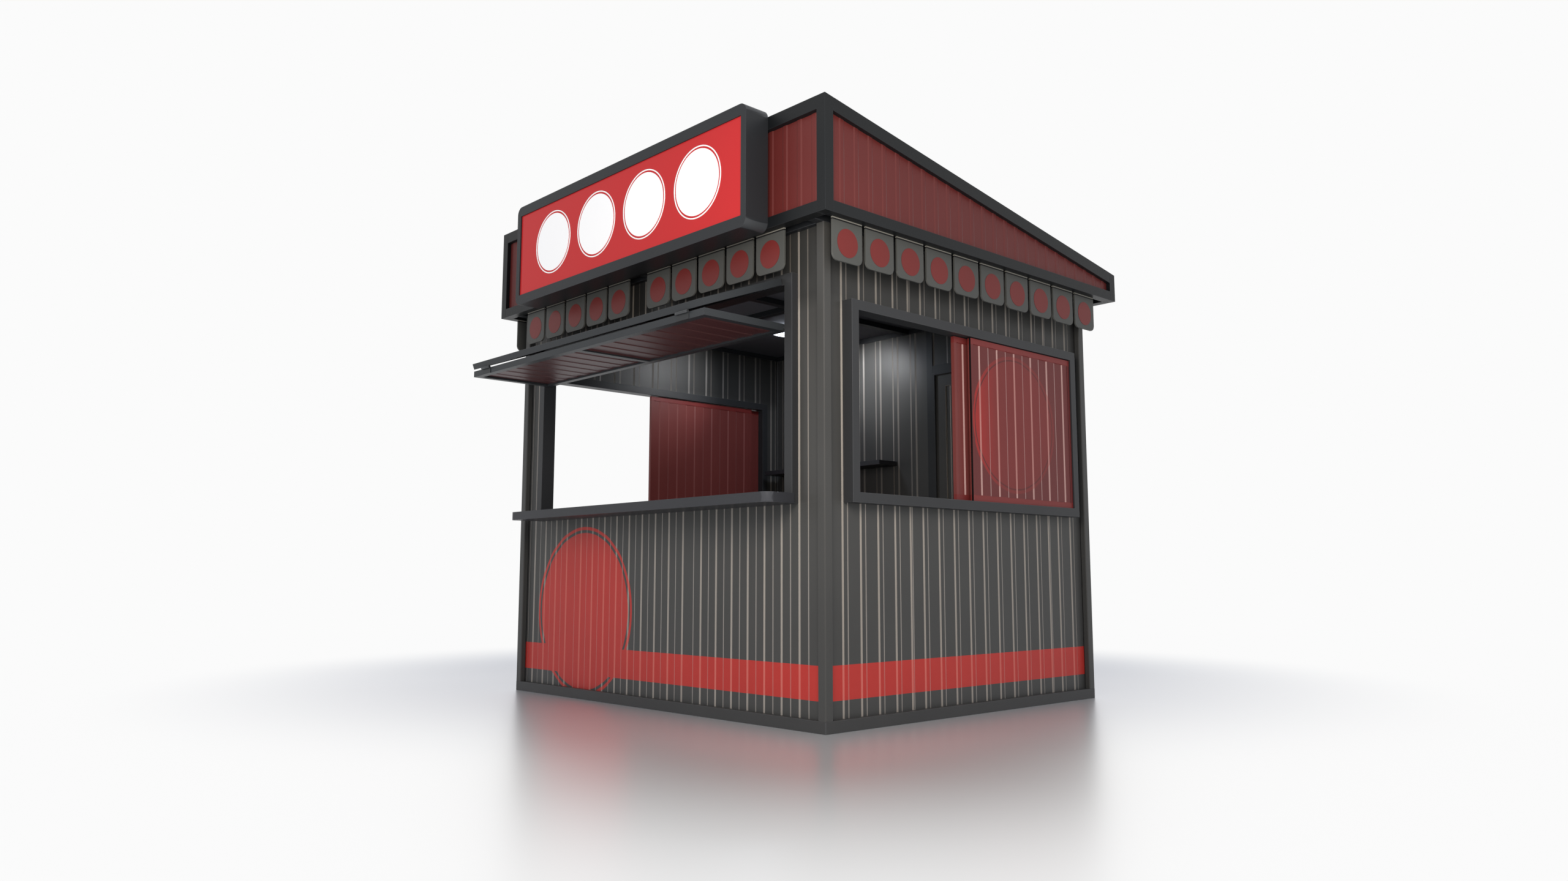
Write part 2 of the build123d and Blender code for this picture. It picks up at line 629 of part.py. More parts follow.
# Fascia: tubes round the roof, whose top rails follow its fall
def fascia_ring(outer, inner):
    """Plan of the fascia's four straight stretches, between two depths from its outer face."""
    with BuildSketch() as ring:
        for side, overhang in OVERHANGS.items():
            ends = SIDE_ENDS[side]
            plan = wall_plan(side, 0)
            with BuildSketch(mode=Mode.PRIVATE) as stretch:
                add(block(*ends, outer - overhang, inner - overhang))
            add(plan.location * stretch.sketch)
    return ring.sketch


SIDE_ENDS = {
    "front": (-FASCIA_SIDE_X + FASCIA_TUBE, FASCIA_SIDE_X - FASCIA_TUBE),
    "right": (FASCIA_FRONT_Y + FASCIA_TUBE, FASCIA_BACK_Y - FASCIA_TUBE),
    "back": (-FASCIA_SIDE_X + FASCIA_TUBE, FASCIA_SIDE_X - FASCIA_TUBE),
    "left": (-FASCIA_BACK_Y + FASCIA_TUBE, -FASCIA_FRONT_Y - FASCIA_TUBE),
}
FASCIA_SPAN = FASCIA_FRONT_TOP - WALL_TOP
FASCIA_RING = fascia_ring(0, FASCIA_TUBE)

with BuildPart() as fascia_bottom_rails:
    with BuildSketch(Plane.XY.offset(WALL_TOP)):
        add(FASCIA_RING)
    extrude(amount=FASCIA_TUBE)
keep(fascia_bottom_rails, "fascia_bottom_rails")

with BuildPart() as fascia_top_rails:
    with BuildSketch(Plane.XY.offset(WALL_TOP)):
        add(FASCIA_RING)
    extrude(amount=FASCIA_SPAN)
    split(bisect_by=ROOF_PLANE, keep=Keep.BOTTOM)
    split(bisect_by=RAIL_PLANE, keep=Keep.TOP)
keep(fascia_top_rails, "fascia_top_rails")

with BuildPart() as fascia_corner_posts:
    with BuildSketch(Plane.XY.offset(WALL_TOP)):
        for x in (-FASCIA_SIDE_X + FASCIA_TUBE / 2, FASCIA_SIDE_X - FASCIA_TUBE / 2):
            for y in (FASCIA_FRONT_Y + FASCIA_TUBE / 2, FASCIA_BACK_Y - FASCIA_TUBE / 2):
                with Locations((x, y)):
                    Rectangle(FASCIA_TUBE, FASCIA_TUBE)
    extrude(amount=FASCIA_SPAN)
    split(bisect_by=ROOF_PLANE, keep=Keep.BOTTOM)
keep(fascia_corner_posts, "fascia_corner_posts")

# Fascia infill: ribbed sheet set back between the rails
INFILL_RIBS = Ribs(INFILL_CREST, INFILL_SLANT, INFILL_RIB_DEPTH, INFILL_PITCH)
with BuildPart() as fascia_infills:
    for side, overhang in OVERHANGS.items():
        outer = INFILL_SETBACK - overhang
        inner = outer + INFILL_THICKNESS
        with BuildSketch(wall_plan(side, WALL_TOP + FASCIA_TUBE)):
            add(ribbed(*SIDE_ENDS[side], outer, inner, INFILL_RIBS))
        extrude(amount=FASCIA_SPAN)
    split(bisect_by=RAIL_PLANE, keep=Keep.BOTTOM)
keep(fascia_infills, "fascia_infills")

# Roof beams: three lie on the walls and run out to the fascia, and bars lie between them
RING_FRONT = FASCIA_FRONT_Y + FASCIA_TUBE
RING_BACK = FASCIA_BACK_Y - FASCIA_TUBE
BEAM_BAY = (WIDTH - ROOF_BEAM) / 2
with BuildPart() as roof_beams:
    with BuildSketch(Plane.XY.offset(WALL_TOP)):
        with Locations((0, (RING_FRONT + RING_BACK) / 2)):
            with GridLocations(BEAM_BAY, 0, 3, 1):
                Rectangle(ROOF_BEAM, RING_BACK - RING_FRONT)
        with GridLocations(BEAM_BAY, (DEPTH - ROOF_BEAM) / 2, 2, 3):
            Rectangle(BEAM_BAY - ROOF_BEAM - 2 * ROOF_BEAM_GAP, ROOF_BEAM)
    extrude(amount=ROOF_BEAM_DEPTH)
keep(roof_beams, "roof_beams")

# Ceiling on the beams, and the ribbed roof sheet over it
with BuildPart() as ceiling_panel:
    with BuildSketch(Plane.XY.offset(CEILING_BOTTOM)):
        Rectangle(WIDTH, DEPTH)
    extrude(amount=CEILING_THICKNESS)
keep(ceiling_panel, "ceiling_panel")

ROOF_RIBS = Ribs(ROOF_CREST, ROOF_RIB_SLANT, ROOF_RIB_DEPTH, ROOF_RIB_PITCH)
with BuildPart() as roof_sheet:
    sheet_top = (0, RING_FRONT, roof_height(RING_FRONT) - ROOF_DROP)
    half = FASCIA_SIDE_X - FASCIA_TUBE
    ribbed_top = rib_line(-half, half, 0, ROOF_RIBS)
    with BuildSketch(Plane(sheet_top, x_dir=(1, 0, 0), z_dir=(0, 1, 0))):
        with BuildLine():
            Polyline(*ribbed_top, (half, ROOF_SHEET), (-half, ROOF_SHEET), close=True)
        make_face()
    extrude(amount=(RING_BACK - RING_FRONT) / ROOF_DIRECTION.Y, dir=ROOF_DIRECTION)
keep(roof_sheet, "roof_sheet")

# Ceiling lamp and the shelf on the inside of the back wall
with BuildPart() as ceiling_lamp:
    with BuildSketch(Plane.XY.offset(CEILING_BOTTOM - LAMP_DEPTH)):
        with Locations((LAMP_X, LAMP_Y)):
            Circle(LAMP_RADIUS)
    extrude(amount=LAMP_DEPTH)
keep(ceiling_lamp, "ceiling_lamp")

with BuildPart() as inner_shelf:
    shelf_back = POST - SHEET_SETBACK
    with BuildSketch(wall_plan("back", SHELF_TOP - SHELF_THICKNESS)):
        add(block(SHELF_START, SHELF_START + SHELF_LENGTH, shelf_back, shelf_back + SHELF_DEPTH))
    extrude(amount=SHELF_THICKNESS)
keep(inner_shelf, "inner_shelf")

# Sign box with a recessed face, on the front of the fascia
SIGN_PLACE = (SIGN_CENTRE, (SIGN_BOTTOM + SIGN_TOP) / 2)
FACE_WIDTH = SIGN_WIDTH - 2 * SIGN_SIDE_BORDER
FACE_HEIGHT = SIGN_TOP - SIGN_BOTTOM - 2 * SIGN_EDGE_BORDER
with BuildPart() as sign_box:
    with BuildSketch(wall_face("front", -FASCIA_FRONT)):
        with Locations(SIGN_PLACE):
            RectangleRounded(SIGN_WIDTH, SIGN_TOP - SIGN_BOTTOM, SIGN_CORNER)
    extrude(amount=SIGN_DEPTH)
    with BuildSketch(wall_face("front", -FASCIA_FRONT - SIGN_DEPTH)):
        with Locations(SIGN_PLACE):
            Rectangle(FACE_WIDTH, FACE_HEIGHT)
    extrude(amount=-SIGN_RECESS, mode=Mode.SUBTRACT)
keep(sign_box, "sign_box")

with BuildPart() as sign_face:
    with BuildSketch(wall_face("front", -FASCIA_FRONT - SIGN_DEPTH + SIGN_RECESS)):
        with Locations(SIGN_PLACE):
            Rectangle(FACE_WIDTH, FACE_HEIGHT)
    extrude(amount=SIGN_FACE_THICKNESS)
keep(sign_face, "sign_face")

# Valance: rows of tiles that hang from the fascia's bottom rails
FRONT_GROUP = FRONT_TILES * TILE_PITCH - (TILE_PITCH - TILE_WIDTH)
BACK_ROW = BACK_TILES * TILE_PITCH - (TILE_PITCH - TILE_WIDTH)
SIDE_ROW = SIDE_TILES * TILE_PITCH - (TILE_PITCH - TILE_WIDTH)
TILE_ROWS = {
    "front": (
        (FRONT_TILE_START, FRONT_TILES),
        (FRONT_TILE_START + FRONT_GROUP + FRONT_TILE_GAP, FRONT_TILES),
    ),
    "right": ((SIDE_TILE_START, SIDE_TILES),),
    "back": ((-BACK_ROW / 2, BACK_TILES),),
    "left": ((-SIDE_TILE_START - SIDE_ROW, SIDE_TILES),),
}


def tile_row(side, rows):
    """Sketch of a wall's valance tiles, whose bottom corners are rounded."""
    with BuildSketch(wall_face(side, FASCIA_TUBE - TILE_THICKNESS - OVERHANGS[side])) as row:
        for start, count in rows:
            for number in range(count):
                left = start + number * TILE_PITCH
                add(block(left, left + TILE_WIDTH, TILE_BOTTOM, WALL_TOP))
        fillet(row.vertices().group_by(Axis.Y)[0], TILE_CORNER)
    return row.sketch


for label, sides in (
    ("valance_front", ("front",)),
    ("valance_sides", ("right", "left")),
    ("valance_back", ("back",)),
):
    with BuildPart() as valance:
        for side in sides:
            extrude(tile_row(side, TILE_ROWS[side]), amount=-TILE_THICKNESS)
    keep(valance, label)
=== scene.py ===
"""Finishes, prints, set-back walls, sign discs, screws, light and camera of a street kiosk.

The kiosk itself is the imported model, whose nodes stay where they are and get their
finishes here; only its walls are replaced, by the same walls with their outer faces
set back. Sizes are in metres and the frame is the model's: the origin is the centre of
the footprint at ground level, +Z is up and the serving hatch faces -Y.
"""

import logging
import math
from collections.abc import Iterator
from dataclasses import dataclass, field
from enum import Enum
from typing import Any

import bmesh
import bpy
from mathutils import Euler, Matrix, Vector


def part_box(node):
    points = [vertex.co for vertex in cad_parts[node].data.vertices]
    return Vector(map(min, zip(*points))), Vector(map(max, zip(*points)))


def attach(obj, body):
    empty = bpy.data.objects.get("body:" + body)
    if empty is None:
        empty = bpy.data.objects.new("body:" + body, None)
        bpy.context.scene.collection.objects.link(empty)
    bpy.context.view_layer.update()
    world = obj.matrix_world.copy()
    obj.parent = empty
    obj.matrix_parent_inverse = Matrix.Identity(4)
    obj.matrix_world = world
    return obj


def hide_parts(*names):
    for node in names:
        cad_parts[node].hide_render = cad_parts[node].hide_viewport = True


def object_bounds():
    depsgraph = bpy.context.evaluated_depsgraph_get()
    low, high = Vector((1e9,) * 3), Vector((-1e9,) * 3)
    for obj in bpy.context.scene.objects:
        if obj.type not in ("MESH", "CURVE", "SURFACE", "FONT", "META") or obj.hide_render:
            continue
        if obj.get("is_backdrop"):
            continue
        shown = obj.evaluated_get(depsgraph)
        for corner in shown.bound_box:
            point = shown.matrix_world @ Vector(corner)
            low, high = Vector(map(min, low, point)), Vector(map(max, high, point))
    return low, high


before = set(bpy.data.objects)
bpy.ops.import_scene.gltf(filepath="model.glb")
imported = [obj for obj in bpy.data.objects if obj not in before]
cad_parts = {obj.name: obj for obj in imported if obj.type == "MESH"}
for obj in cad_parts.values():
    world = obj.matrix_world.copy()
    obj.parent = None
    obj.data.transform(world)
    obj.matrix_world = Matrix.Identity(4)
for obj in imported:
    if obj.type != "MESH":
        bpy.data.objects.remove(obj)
cad_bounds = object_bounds()

log = logging.getLogger("street_kiosk")

# Body that the pieces made here ride on
KIOSK = "kiosk"


class Facing(Enum):
    """Wall of the kiosk, with the turn that lays a disc flat on its outside."""

    FRONT = (math.pi / 2, 0.0, 0.0)
    RIGHT = (0.0, math.pi / 2, 0.0)
    BACK = (-math.pi / 2, 0.0, 0.0)
    LEFT = (0.0, -math.pi / 2, 0.0)


def linear(hex_colour: str) -> tuple[float, float, float, float]:
    """Turn an sRGB hex colour into the linear one that Blender's sockets take.

    Args:
        hex_colour: Six hex digits, such as "52524f".

    Returns:
        Linear red, green, blue and an alpha of 1.
    """
    parts = [int(hex_colour[at : at + 2], 16) / 255 for at in (0, 2, 4)]
    lit = [part / 12.92 if part <= 0.04045 else ((part + 0.055) / 1.055) ** 2.4 for part in parts]
    return (lit[0], lit[1], lit[2], 1.0)


def add_node(
    tree: bpy.types.NodeTree,
    kind: str,
    inputs: dict[str | int, Any] | None = None,
    **settings: Any,
) -> bpy.types.Node:
    """Add a node with its settings, values and links.

    Args:
        tree: Node tree that gets the node.
        kind: Blender's name for the type of node.
        inputs: For an input's name or number, a value, a node (its first output is
            linked), an output socket, or a list of nodes for an input that takes many.
        settings: Properties of the node itself.

    Returns:
        The new node.
    """
    node = tree.nodes.new(kind)
    for name, value in settings.items():
        setattr(node, name, value)
    for key, value in (inputs or {}).items():
        if isinstance(value, bpy.types.Node):
            tree.links.new(value.outputs[0], node.inputs[key])
        elif isinstance(value, bpy.types.NodeSocket):
            tree.links.new(value, node.inputs[key])
        elif isinstance(value, list):
            for source in value:
                tree.links.new(source.outputs[0], node.inputs[key])
        else:
            node.inputs[key].default_value = value
    return node


class Surface:
    """A material in the making: its shader, and the coordinates that patterns read."""

    # Largest component of the direction of a flat face, and of a bent one
    flat: float = 0.983
    bent: float = 0.968

    def __init__(self, name: str, roughness: float, metallic: float = 0.0) -> None:
        """Start a material that holds one principled shader.

        Args:
            name: Name of the material.
            roughness: Roughness that the pattern varies around.
            metallic: 1 for a bare metal.
        """
        self.material = bpy.data.materials.new(name)
        self.material.use_nodes = True
        self.tree = self.material.node_tree
        self.tree.nodes.clear()
        values = {"Metallic": metallic, "Roughness": roughness}
        self.shader = self.add("ShaderNodeBsdfPrincipled", values)
        self.output = self.add("ShaderNodeOutputMaterial", {"Surface": self.shader})
        texture_coordinates = self.add("ShaderNodeTexCoord")
        self.place = texture_coordinates.outputs["Object"]
        self.facing = texture_coordinates.outputs["Normal"]

    def add(
        self, kind: str, inputs: dict[str | int, Any] | None = None, **settings: Any
    ) -> bpy.types.Node:
        """Add a node to this material; the arguments are those of add_node."""
        return add_node(self.tree, kind, inputs, **settings)

    def layers(self, colour: Any, *coats: tuple[Any, Any]) -> bpy.types.NodeSocket:
        """Lay coats of colour over one another.

        Args:
            colour: Lowest colour, or the node or socket that gives it.
            coats: For each coat above it, how much of it shows, from 0 to 1, and its
                colour.

        Returns:
            The socket of the colour that shows.
        """
        for share, above in coats:
            coat = {0: share, 6: colour, 7: above}
            colour = self.add("ShaderNodeMix", coat, data_type="RGBA").outputs[2]
        return colour

    def connect(self, socket: str, source: Any) -> None:
        """Link a node or a socket to an input of the shader."""
        output = source.outputs[0] if isinstance(source, bpy.types.Node) else source
        self.tree.links.new(output, self.shader.inputs[socket])

    def set(self, **values: Any) -> None:
        """Set inputs of the shader that are the same all over; _ stands for a space."""
        for name, value in values.items():
            self.shader.inputs[name.replace("_", " ")].default_value = value

    def grain(self, size: float, depth: float, detail: float = 2.0) -> bpy.types.Node:
        """Give the surface a fine bump.

        Args:
            size: Width of one grain in metres.
            depth: Height of a grain in metres.
            detail: Octaves of the noise.

        Returns:
            The noise that the bump follows.
        """
        values = {"Vector": self.place, "Scale": 1 / size, "Detail": detail}
        noise = self.add("ShaderNodeTexNoise", values)
        bump = self.add("ShaderNodeBump", {"Height": noise, "Distance": depth, "Strength": 1.0})
        self.connect("Normal", bump)
        return noise

    def lean(self, centre: Vector, slope: float) -> None:
        """Read patterns from a place and a lean of their own, as on a tilted panel.

        Args:
            centre: Middle of the panel.
            slope: How far the panel is turned about X, in radians.
        """
        turn = {"Rotation": (slope, 0.0, 0.0)}
        place = {"Vector": self.place, "Location": centre, **turn}
        self.place = self.add("ShaderNodeMapping", place, vector_type="TEXTURE").outputs[0]
        facing = {"Vector": self.facing, **turn}
        self.facing = self.add("ShaderNodeMapping", facing, vector_type="TEXTURE").outputs[0]

    def widest(self, vector: Any) -> bpy.types.Node:
        """Pick the largest of a vector's three components.

        Args:
            vector: Node or socket that gives the vector.

        Returns:
            Node that gives the largest component.
        """
        parts = self.add("ShaderNodeSeparateXYZ", {0: vector})
        larger = {0: parts.outputs["X"], 1: parts.outputs["Y"]}
        both = self.add("ShaderNodeMath", larger, operation="MAXIMUM")
        return self.add("ShaderNodeMath", {0: both, 1: parts.outputs["Z"]}, operation="MAXIMUM")

    def within(self, half_size: tuple[float, float, float]) -> bpy.types.Node:
        """Tell whether a point is in a box round the place's origin.

        Args:
            half_size: Half the sides of the box.

        Returns:
            Node that gives 1 inside the box and 0 outside it.
        """
        reach = self.add("ShaderNodeVectorMath", {0: self.place}, operation="ABSOLUTE")
        beyond = self.add("ShaderNodeVectorMath", {0: reach, 1: half_size}, operation="SUBTRACT")
        return self.add("ShaderNodeMath", {0: self.widest(beyond), 1: 0.0}, operation="LESS_THAN")

    def bends(self, share: float) -> bpy.types.Node:
        """Find slanted and rounded faces, such as the bends of a sheet.

        Args:
            share: What the node gives on them, from 0 to 1.

        Returns:
            Node that gives the share on bends and 0 on flat faces.
        """
        steep = self.add("ShaderNodeVectorMath", {0: self.facing}, operation="ABSOLUTE")
        span = {"Value": self.widest(steep), "From Min": self.flat, "From Max": self.bent}
        return self.add("ShaderNodeMapRange", {**span, "To Min": 0.0, "To Max": share})


@dataclass(frozen=True)
class CoatedSteel:
    """Coated sheet or tube: satin, with faint orange peel and a painted highlight on its bends."""

    name: str
    colour: str
    highlight_colour: str
    highlight_share: float = 0.5
    roughness: float = 0.42
    shine: float = 0.2
    variation: float = 0.05
    cloud_width: float = 0.4
    peel: float = 0.004
    peel_depth: float = 0.00006
    roughness_swing: float = 0.04

    def build(self) -> bpy.types.Material:
        """Build the material, with its coat and whatever is printed on it.

        Returns:
            The finished material.
        """
        made = Surface(self.name, self.roughness)
        made.set(Specular_IOR_Level=self.shine)
        made.connect("Base Color", self.coat(made))
        self.peel_coat(made)
        return made.material

    def coat(self, made: Surface) -> bpy.types.NodeSocket:
        """Return the coat's colour, with its bends lighter.

        Args:
            made: Surface that gets the nodes.

        Returns:
            Socket of the colour.
        """
        return self.paint_bend_highlights(made, self.cloud(made, linear(self.colour)))

    def cloud(self, made: Surface, colour: Any) -> bpy.types.NodeSocket:
        """Give a colour the faint clouds of a rolled coat, about 0.4 m wide.

        Args:
            made: Surface that gets the nodes.
            colour: Colour, or node or socket that gives it.

        Returns:
            Socket of the clouded colour.
        """
        noise = {"Vector": made.place, "Scale": 1 / self.cloud_width, "Detail": 3.0}
        noise = made.add("ShaderNodeTexNoise", noise)
        span = {"To Min": 1 - self.variation, "To Max": 1 + self.variation}
        value = {"Value": noise, "From Min": 0.3, "From Max": 0.7, **span}
        value = made.add("ShaderNodeMapRange", value)
        return made.add("ShaderNodeHueSaturation", {"Color": colour, "Value": value}).outputs[0]

    def paint_bend_highlights(self, made: Surface, colour: Any) -> bpy.types.NodeSocket:
        """Return a colour with a painted highlight on the bends, where slanted faces would catch
        the light.
        """
        return made.layers(colour, (made.bends(self.highlight_share), linear(self.highlight_colour)))

    def peel_coat(self, made: Surface) -> None:
        """Add the orange peel, drawn 4 mm wide so that it shows at all.

        Args:
            made: Surface that gets the nodes.
        """
        noise = made.grain(self.peel, self.peel_depth)
        swing = self.roughness_swing
        span = {"To Min": self.roughness - swing, "To Max": self.roughness + swing}
        rough = {"Value": noise, "From Min": 0.35, "From Max": 0.65, **span}
        made.connect("Roughness", made.add("ShaderNodeMapRange", rough))


@dataclass(frozen=True)
class Roundel:
    """Disc with a thin ring round it, on a wall: its centre across and up, and its radii."""

    across: float
    up: float
    disc: float
    ring_inner: float
    ring_outer: float


@dataclass(frozen=True)
class PrintedCladding(CoatedSteel):
    """Coil-coated cladding with a band, and where stated a roundel, printed over its ribs."""

    print_colour: str = "b4342e"
    print_highlight: str = "c8746b"
    # Lowest and highest point of the band
    band: tuple[float, float] = (0.137, 0.295)
    roundel: Roundel | None = None
    # Half the sides of the box that holds the walls' inner faces, which have no print
    lining: tuple[float, float, float] = (1.311, 1.066, 3.0)

    def coat(self, made: Surface) -> bpy.types.NodeSocket:
        """Return the coat's colour, with the print over it on the outside.

        Args:
            made: Surface that gets the nodes.

        Returns:
            Socket of the colour.
        """
        plain = self.paint_bend_highlights(made, self.cloud(made, linear(self.colour)))
        printed = self.cloud(made, linear(self.print_colour))
        # Painted highlight on the bends of the print as well
        printed = made.layers(printed, (made.bends(self.highlight_share), linear(self.print_highlight)))
        return made.layers(plain, (self.stencil(made), printed), (made.within(self.lining), plain))

    def stencil(self, made: Surface) -> bpy.types.Node:
        """Draw the outline of the print.

        Args:
            made: Surface that gets the nodes.

        Returns:
            Node that gives 1 where the wall is printed and 0 elsewhere.
        """
        place = made.add("ShaderNodeSeparateXYZ", {0: made.place})
        low, high = self.band
        band = {0: place.outputs["Z"], 1: (low + high) / 2, 2: (high - low) / 2}
        stencil = made.add("ShaderNodeMath", band, operation="COMPARE")
        mark = self.roundel
        if mark is None:
            return stencil
        flat = made.add("ShaderNodeCombineXYZ", {0: place.outputs["X"], 2: place.outputs["Z"]})
        away = {0: flat, 1: (mark.across, 0.0, mark.up)}
        away = made.add("ShaderNodeVectorMath", away, operation="DISTANCE").outputs["Value"]
        disc = made.add("ShaderNodeMath", {0: away, 1: mark.disc}, operation="LESS_THAN")
        middle = (mark.ring_inner + mark.ring_outer) / 2
        ring = {0: away, 1: middle, 2: mark.ring_outer - middle}
        ring = made.add("ShaderNodeMath", ring, operation="COMPARE")
        stencil = made.add("ShaderNodeMath", {0: stencil, 1: disc}, operation="MAXIMUM")
        return made.add("ShaderNodeMath", {0: stencil, 1: ring}, operation="MAXIMUM")


@dataclass(frozen=True)
class EavesShadeCladding(CoatedSteel):
    """Plain coil-coated cladding with painted shade under the eaves: darker towards the top."""

    # Height where the painted shade starts, height where it is full, and the share of colour left
    # there
    shade_start: float = 1.95
    shade_end: float = 2.03
    depth: float = 0.62

    def coat(self, made: Surface) -> bpy.types.NodeSocket:
        """Return the coat's colour, with painted shade that darkens it above the windows.

        Args:
            made: Surface that gets the nodes.

        Returns:
            Socket of the colour.
        """
        height = made.add("ShaderNodeSeparateXYZ", {0: made.place}).outputs["Z"]
        span = {"From Min": self.shade_start, "From Max": self.shade_end}
        value = {"Value": height, **span, "To Min": 1.0, "To Max": self.depth}
        value = made.add("ShaderNodeMapRange", value)
        plain = self.paint_bend_highlights(made, self.cloud(made, linear(self.colour)))
        return made.add("ShaderNodeHueSaturation", {"Color": plain, "Value": value}).outputs[0]


@dataclass(frozen=True)
class WindowLeafSheet(CoatedSteel):
    """Coil-coated sheet of a sliding leaf, with a disc and a thin ring printed on it.

    The print is on the outer leaf only. The rails have a colour of their own. The inner
    leaf is painted lighter to make up for its shade, the bends carry painted highlights,
    and a black brush seals the outer leaf's front edge, also standing in for the shadow
    in the gap between the leaves.
    """

    disc_colour: str = "742c2a"
    # Lighter colour of the disc's front, a painted highlight
    lit_disc_colour: str = "a02a26"
    disc_highlight: str = "c08f89"
    ring_colour: str = "5a2625"
    rail_colour: str = "762d2b"
    inner_lit_colour: str = "743835"
    inner_highlight: str = "8d5753"
    seal_and_shadow_colour: str = "141415"
    # Middle of the disc, along the wall and up
    centre: tuple[float, float] = (0.355, 1.519)
    radius: float = 0.377
    # Part of the radius, from the disc's front, over which its painted highlight fades
    lit_part: float = 0.65
    ring: float = 0.355
    ring_width: float = 0.008
    # Distance from the kiosk's middle beyond which a face is on the outer leaf
    outer_face: float = 1.360
    # Least turn of a face that counts as outwards, and of one that counts as forwards
    outward_turn: float = 0.1
    forward_turn: float = 0.9
    pane_middle: float = 1.5165
    pane_half: float = 0.3985

    def coat(self, made: Surface) -> bpy.types.NodeSocket:
        """Return the coat's colour, with the disc on it.

        Args:
            made: Surface that gets the nodes.

        Returns:
            Socket of the colour.
        """
        place = made.add("ShaderNodeSeparateXYZ", {0: made.place})
        reach = made.add("ShaderNodeMath", {0: place.outputs["X"]}, operation="ABSOLUTE")
        outer = {0: reach, 1: self.outer_face}
        outer = made.add("ShaderNodeMath", outer, operation="GREATER_THAN")
        flat = made.add("ShaderNodeCombineXYZ", {1: place.outputs["Y"], 2: place.outputs["Z"]})
        away = {0: flat, 1: (0.0, *self.centre)}
        away = made.add("ShaderNodeVectorMath", away, operation="DISTANCE").outputs["Value"]
        disc = made.add("ShaderNodeMath", {0: away, 1: self.radius}, operation="LESS_THAN")
        disc = made.add("ShaderNodeMath", {0: disc, 1: outer}, operation="MULTIPLY")
        ring = {0: away, 1: self.ring, 2: self.ring_width / 2}
        ring = made.add("ShaderNodeMath", ring, operation="COMPARE")
        ring = made.add("ShaderNodeMath", {0: ring, 1: outer}, operation="MULTIPLY")
        pane = {0: place.outputs["Z"], 1: self.pane_middle, 2: self.pane_half}
        pane = made.add("ShaderNodeMath", pane, operation="COMPARE")
        bends = {0: made.bends(self.highlight_share), 1: pane}
        bends = made.add("ShaderNodeMath", bends, operation="MULTIPLY")
        # The inner leaf is painted lighter, to make up for its shade
        sheet = made.layers(linear(self.inner_lit_colour), (outer, linear(self.colour)))
        colour = made.layers(
            linear(self.rail_colour),
            (pane, sheet),
            (disc, self.disc_with_painted_light(made, place.outputs["Y"])),
            (ring, linear(self.ring_colour)),
        )
        # Painted highlights on the bends: lighter on the disc, another colour on faces turned
        # inwards
        bright = made.layers(linear(self.highlight_colour), (disc, linear(self.disc_highlight)))
        outside = self.turned_outwards(made, place.outputs["X"])
        bright = made.layers(linear(self.inner_highlight), (outside, bright))
        seal = self.seal(made, outer)
        colour = self.cloud(made, colour)
        return made.layers(colour, (bends, bright), (seal, linear(self.seal_and_shadow_colour)))

    def turned_outwards(self, made: Surface, out: bpy.types.NodeSocket) -> bpy.types.Node:
        """Find the faces that look away from the kiosk's middle.

        Args:
            made: Surface that gets the nodes.
            out: Socket that gives the place from left to right.

        Returns:
            Node that gives 1 on these faces and 0 on the others.
        """
        turn = made.add("ShaderNodeSeparateXYZ", {0: made.facing}).outputs["X"]
        turn = made.add("ShaderNodeMath", {0: turn, 1: out}, operation="MULTIPLY")
        turn = {0: turn, 1: self.outward_turn}
        return made.add("ShaderNodeMath", turn, operation="GREATER_THAN")

    def seal(self, made: Surface, outer: bpy.types.Node) -> bpy.types.Node:
        """Find the brush seal along the front edge of the outer leaf, whose black also stands in
        for the shadow in the gap between the leaves.

        Args:
            made: Surface that gets the nodes.
            outer: Node that gives 1 on the outer leaf.

        Returns:
            Node that gives 1 on the seal and 0 elsewhere.
        """
        along = made.add("ShaderNodeSeparateXYZ", {0: made.facing}).outputs["Y"]
        forwards = {0: along, 1: -self.forward_turn}
        forwards = made.add("ShaderNodeMath", forwards, operation="LESS_THAN")
        return made.add("ShaderNodeMath", {0: forwards, 1: outer}, operation="MULTIPLY")

    def disc_with_painted_light(self, made: Surface, along: bpy.types.NodeSocket) -> bpy.types.NodeSocket:
        """Paint a highlight on the disc's front that fades towards the rear of the kiosk.

        Args:
            made: Surface that gets the nodes.
            along: Socket that gives the place from front to rear.

        Returns:
            Socket of the disc's colour.
        """
        front = self.centre[0] - self.radius
        highlight_end = front + self.lit_part * self.radius
        highlight_fade = {"Value": along, "From Min": front, "From Max": highlight_end}
        highlight_fade = made.add("ShaderNodeMapRange", highlight_fade)
        return made.layers(linear(self.lit_disc_colour), (highlight_fade, linear(self.disc_colour)))


@dataclass(frozen=True)
class ShutterLeaf(CoatedSteel):
    """Shutter leaf: powder-coated tube round a coil-coated sheet of another colour.

    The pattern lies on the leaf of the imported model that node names, whose slope is in
    degrees.
    """

    node: str = ""
    slope: float = 0.0
    sheet_colour: str = "4a2a2b"
    sheet_highlight: str = "5e403f"
    tube: float = 0.038
    half_width: float = 1.080
    half_sheet: float = 0.009
    length: float = 0.515

    def coat(self, made: Surface) -> bpy.types.NodeSocket:
        """Return the colours of the tube and the sheet.

        Args:
            made: Surface that gets the nodes.

        Returns:
            Socket of the colour.
        """
        low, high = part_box(self.node)
        made.lean((low + high) / 2, math.radians(self.slope))
        tube = self.cloud(made, linear(self.colour))
        sheet = self.cloud(made, linear(self.sheet_colour))
        # Painted highlight on the sheet's bends
        sheet = made.layers(sheet, (made.bends(self.highlight_share), linear(self.sheet_highlight)))
        bay = (self.half_width - self.tube, self.length / 2 - self.tube, self.half_sheet)
        return made.layers(tube, (made.within(bay), sheet))


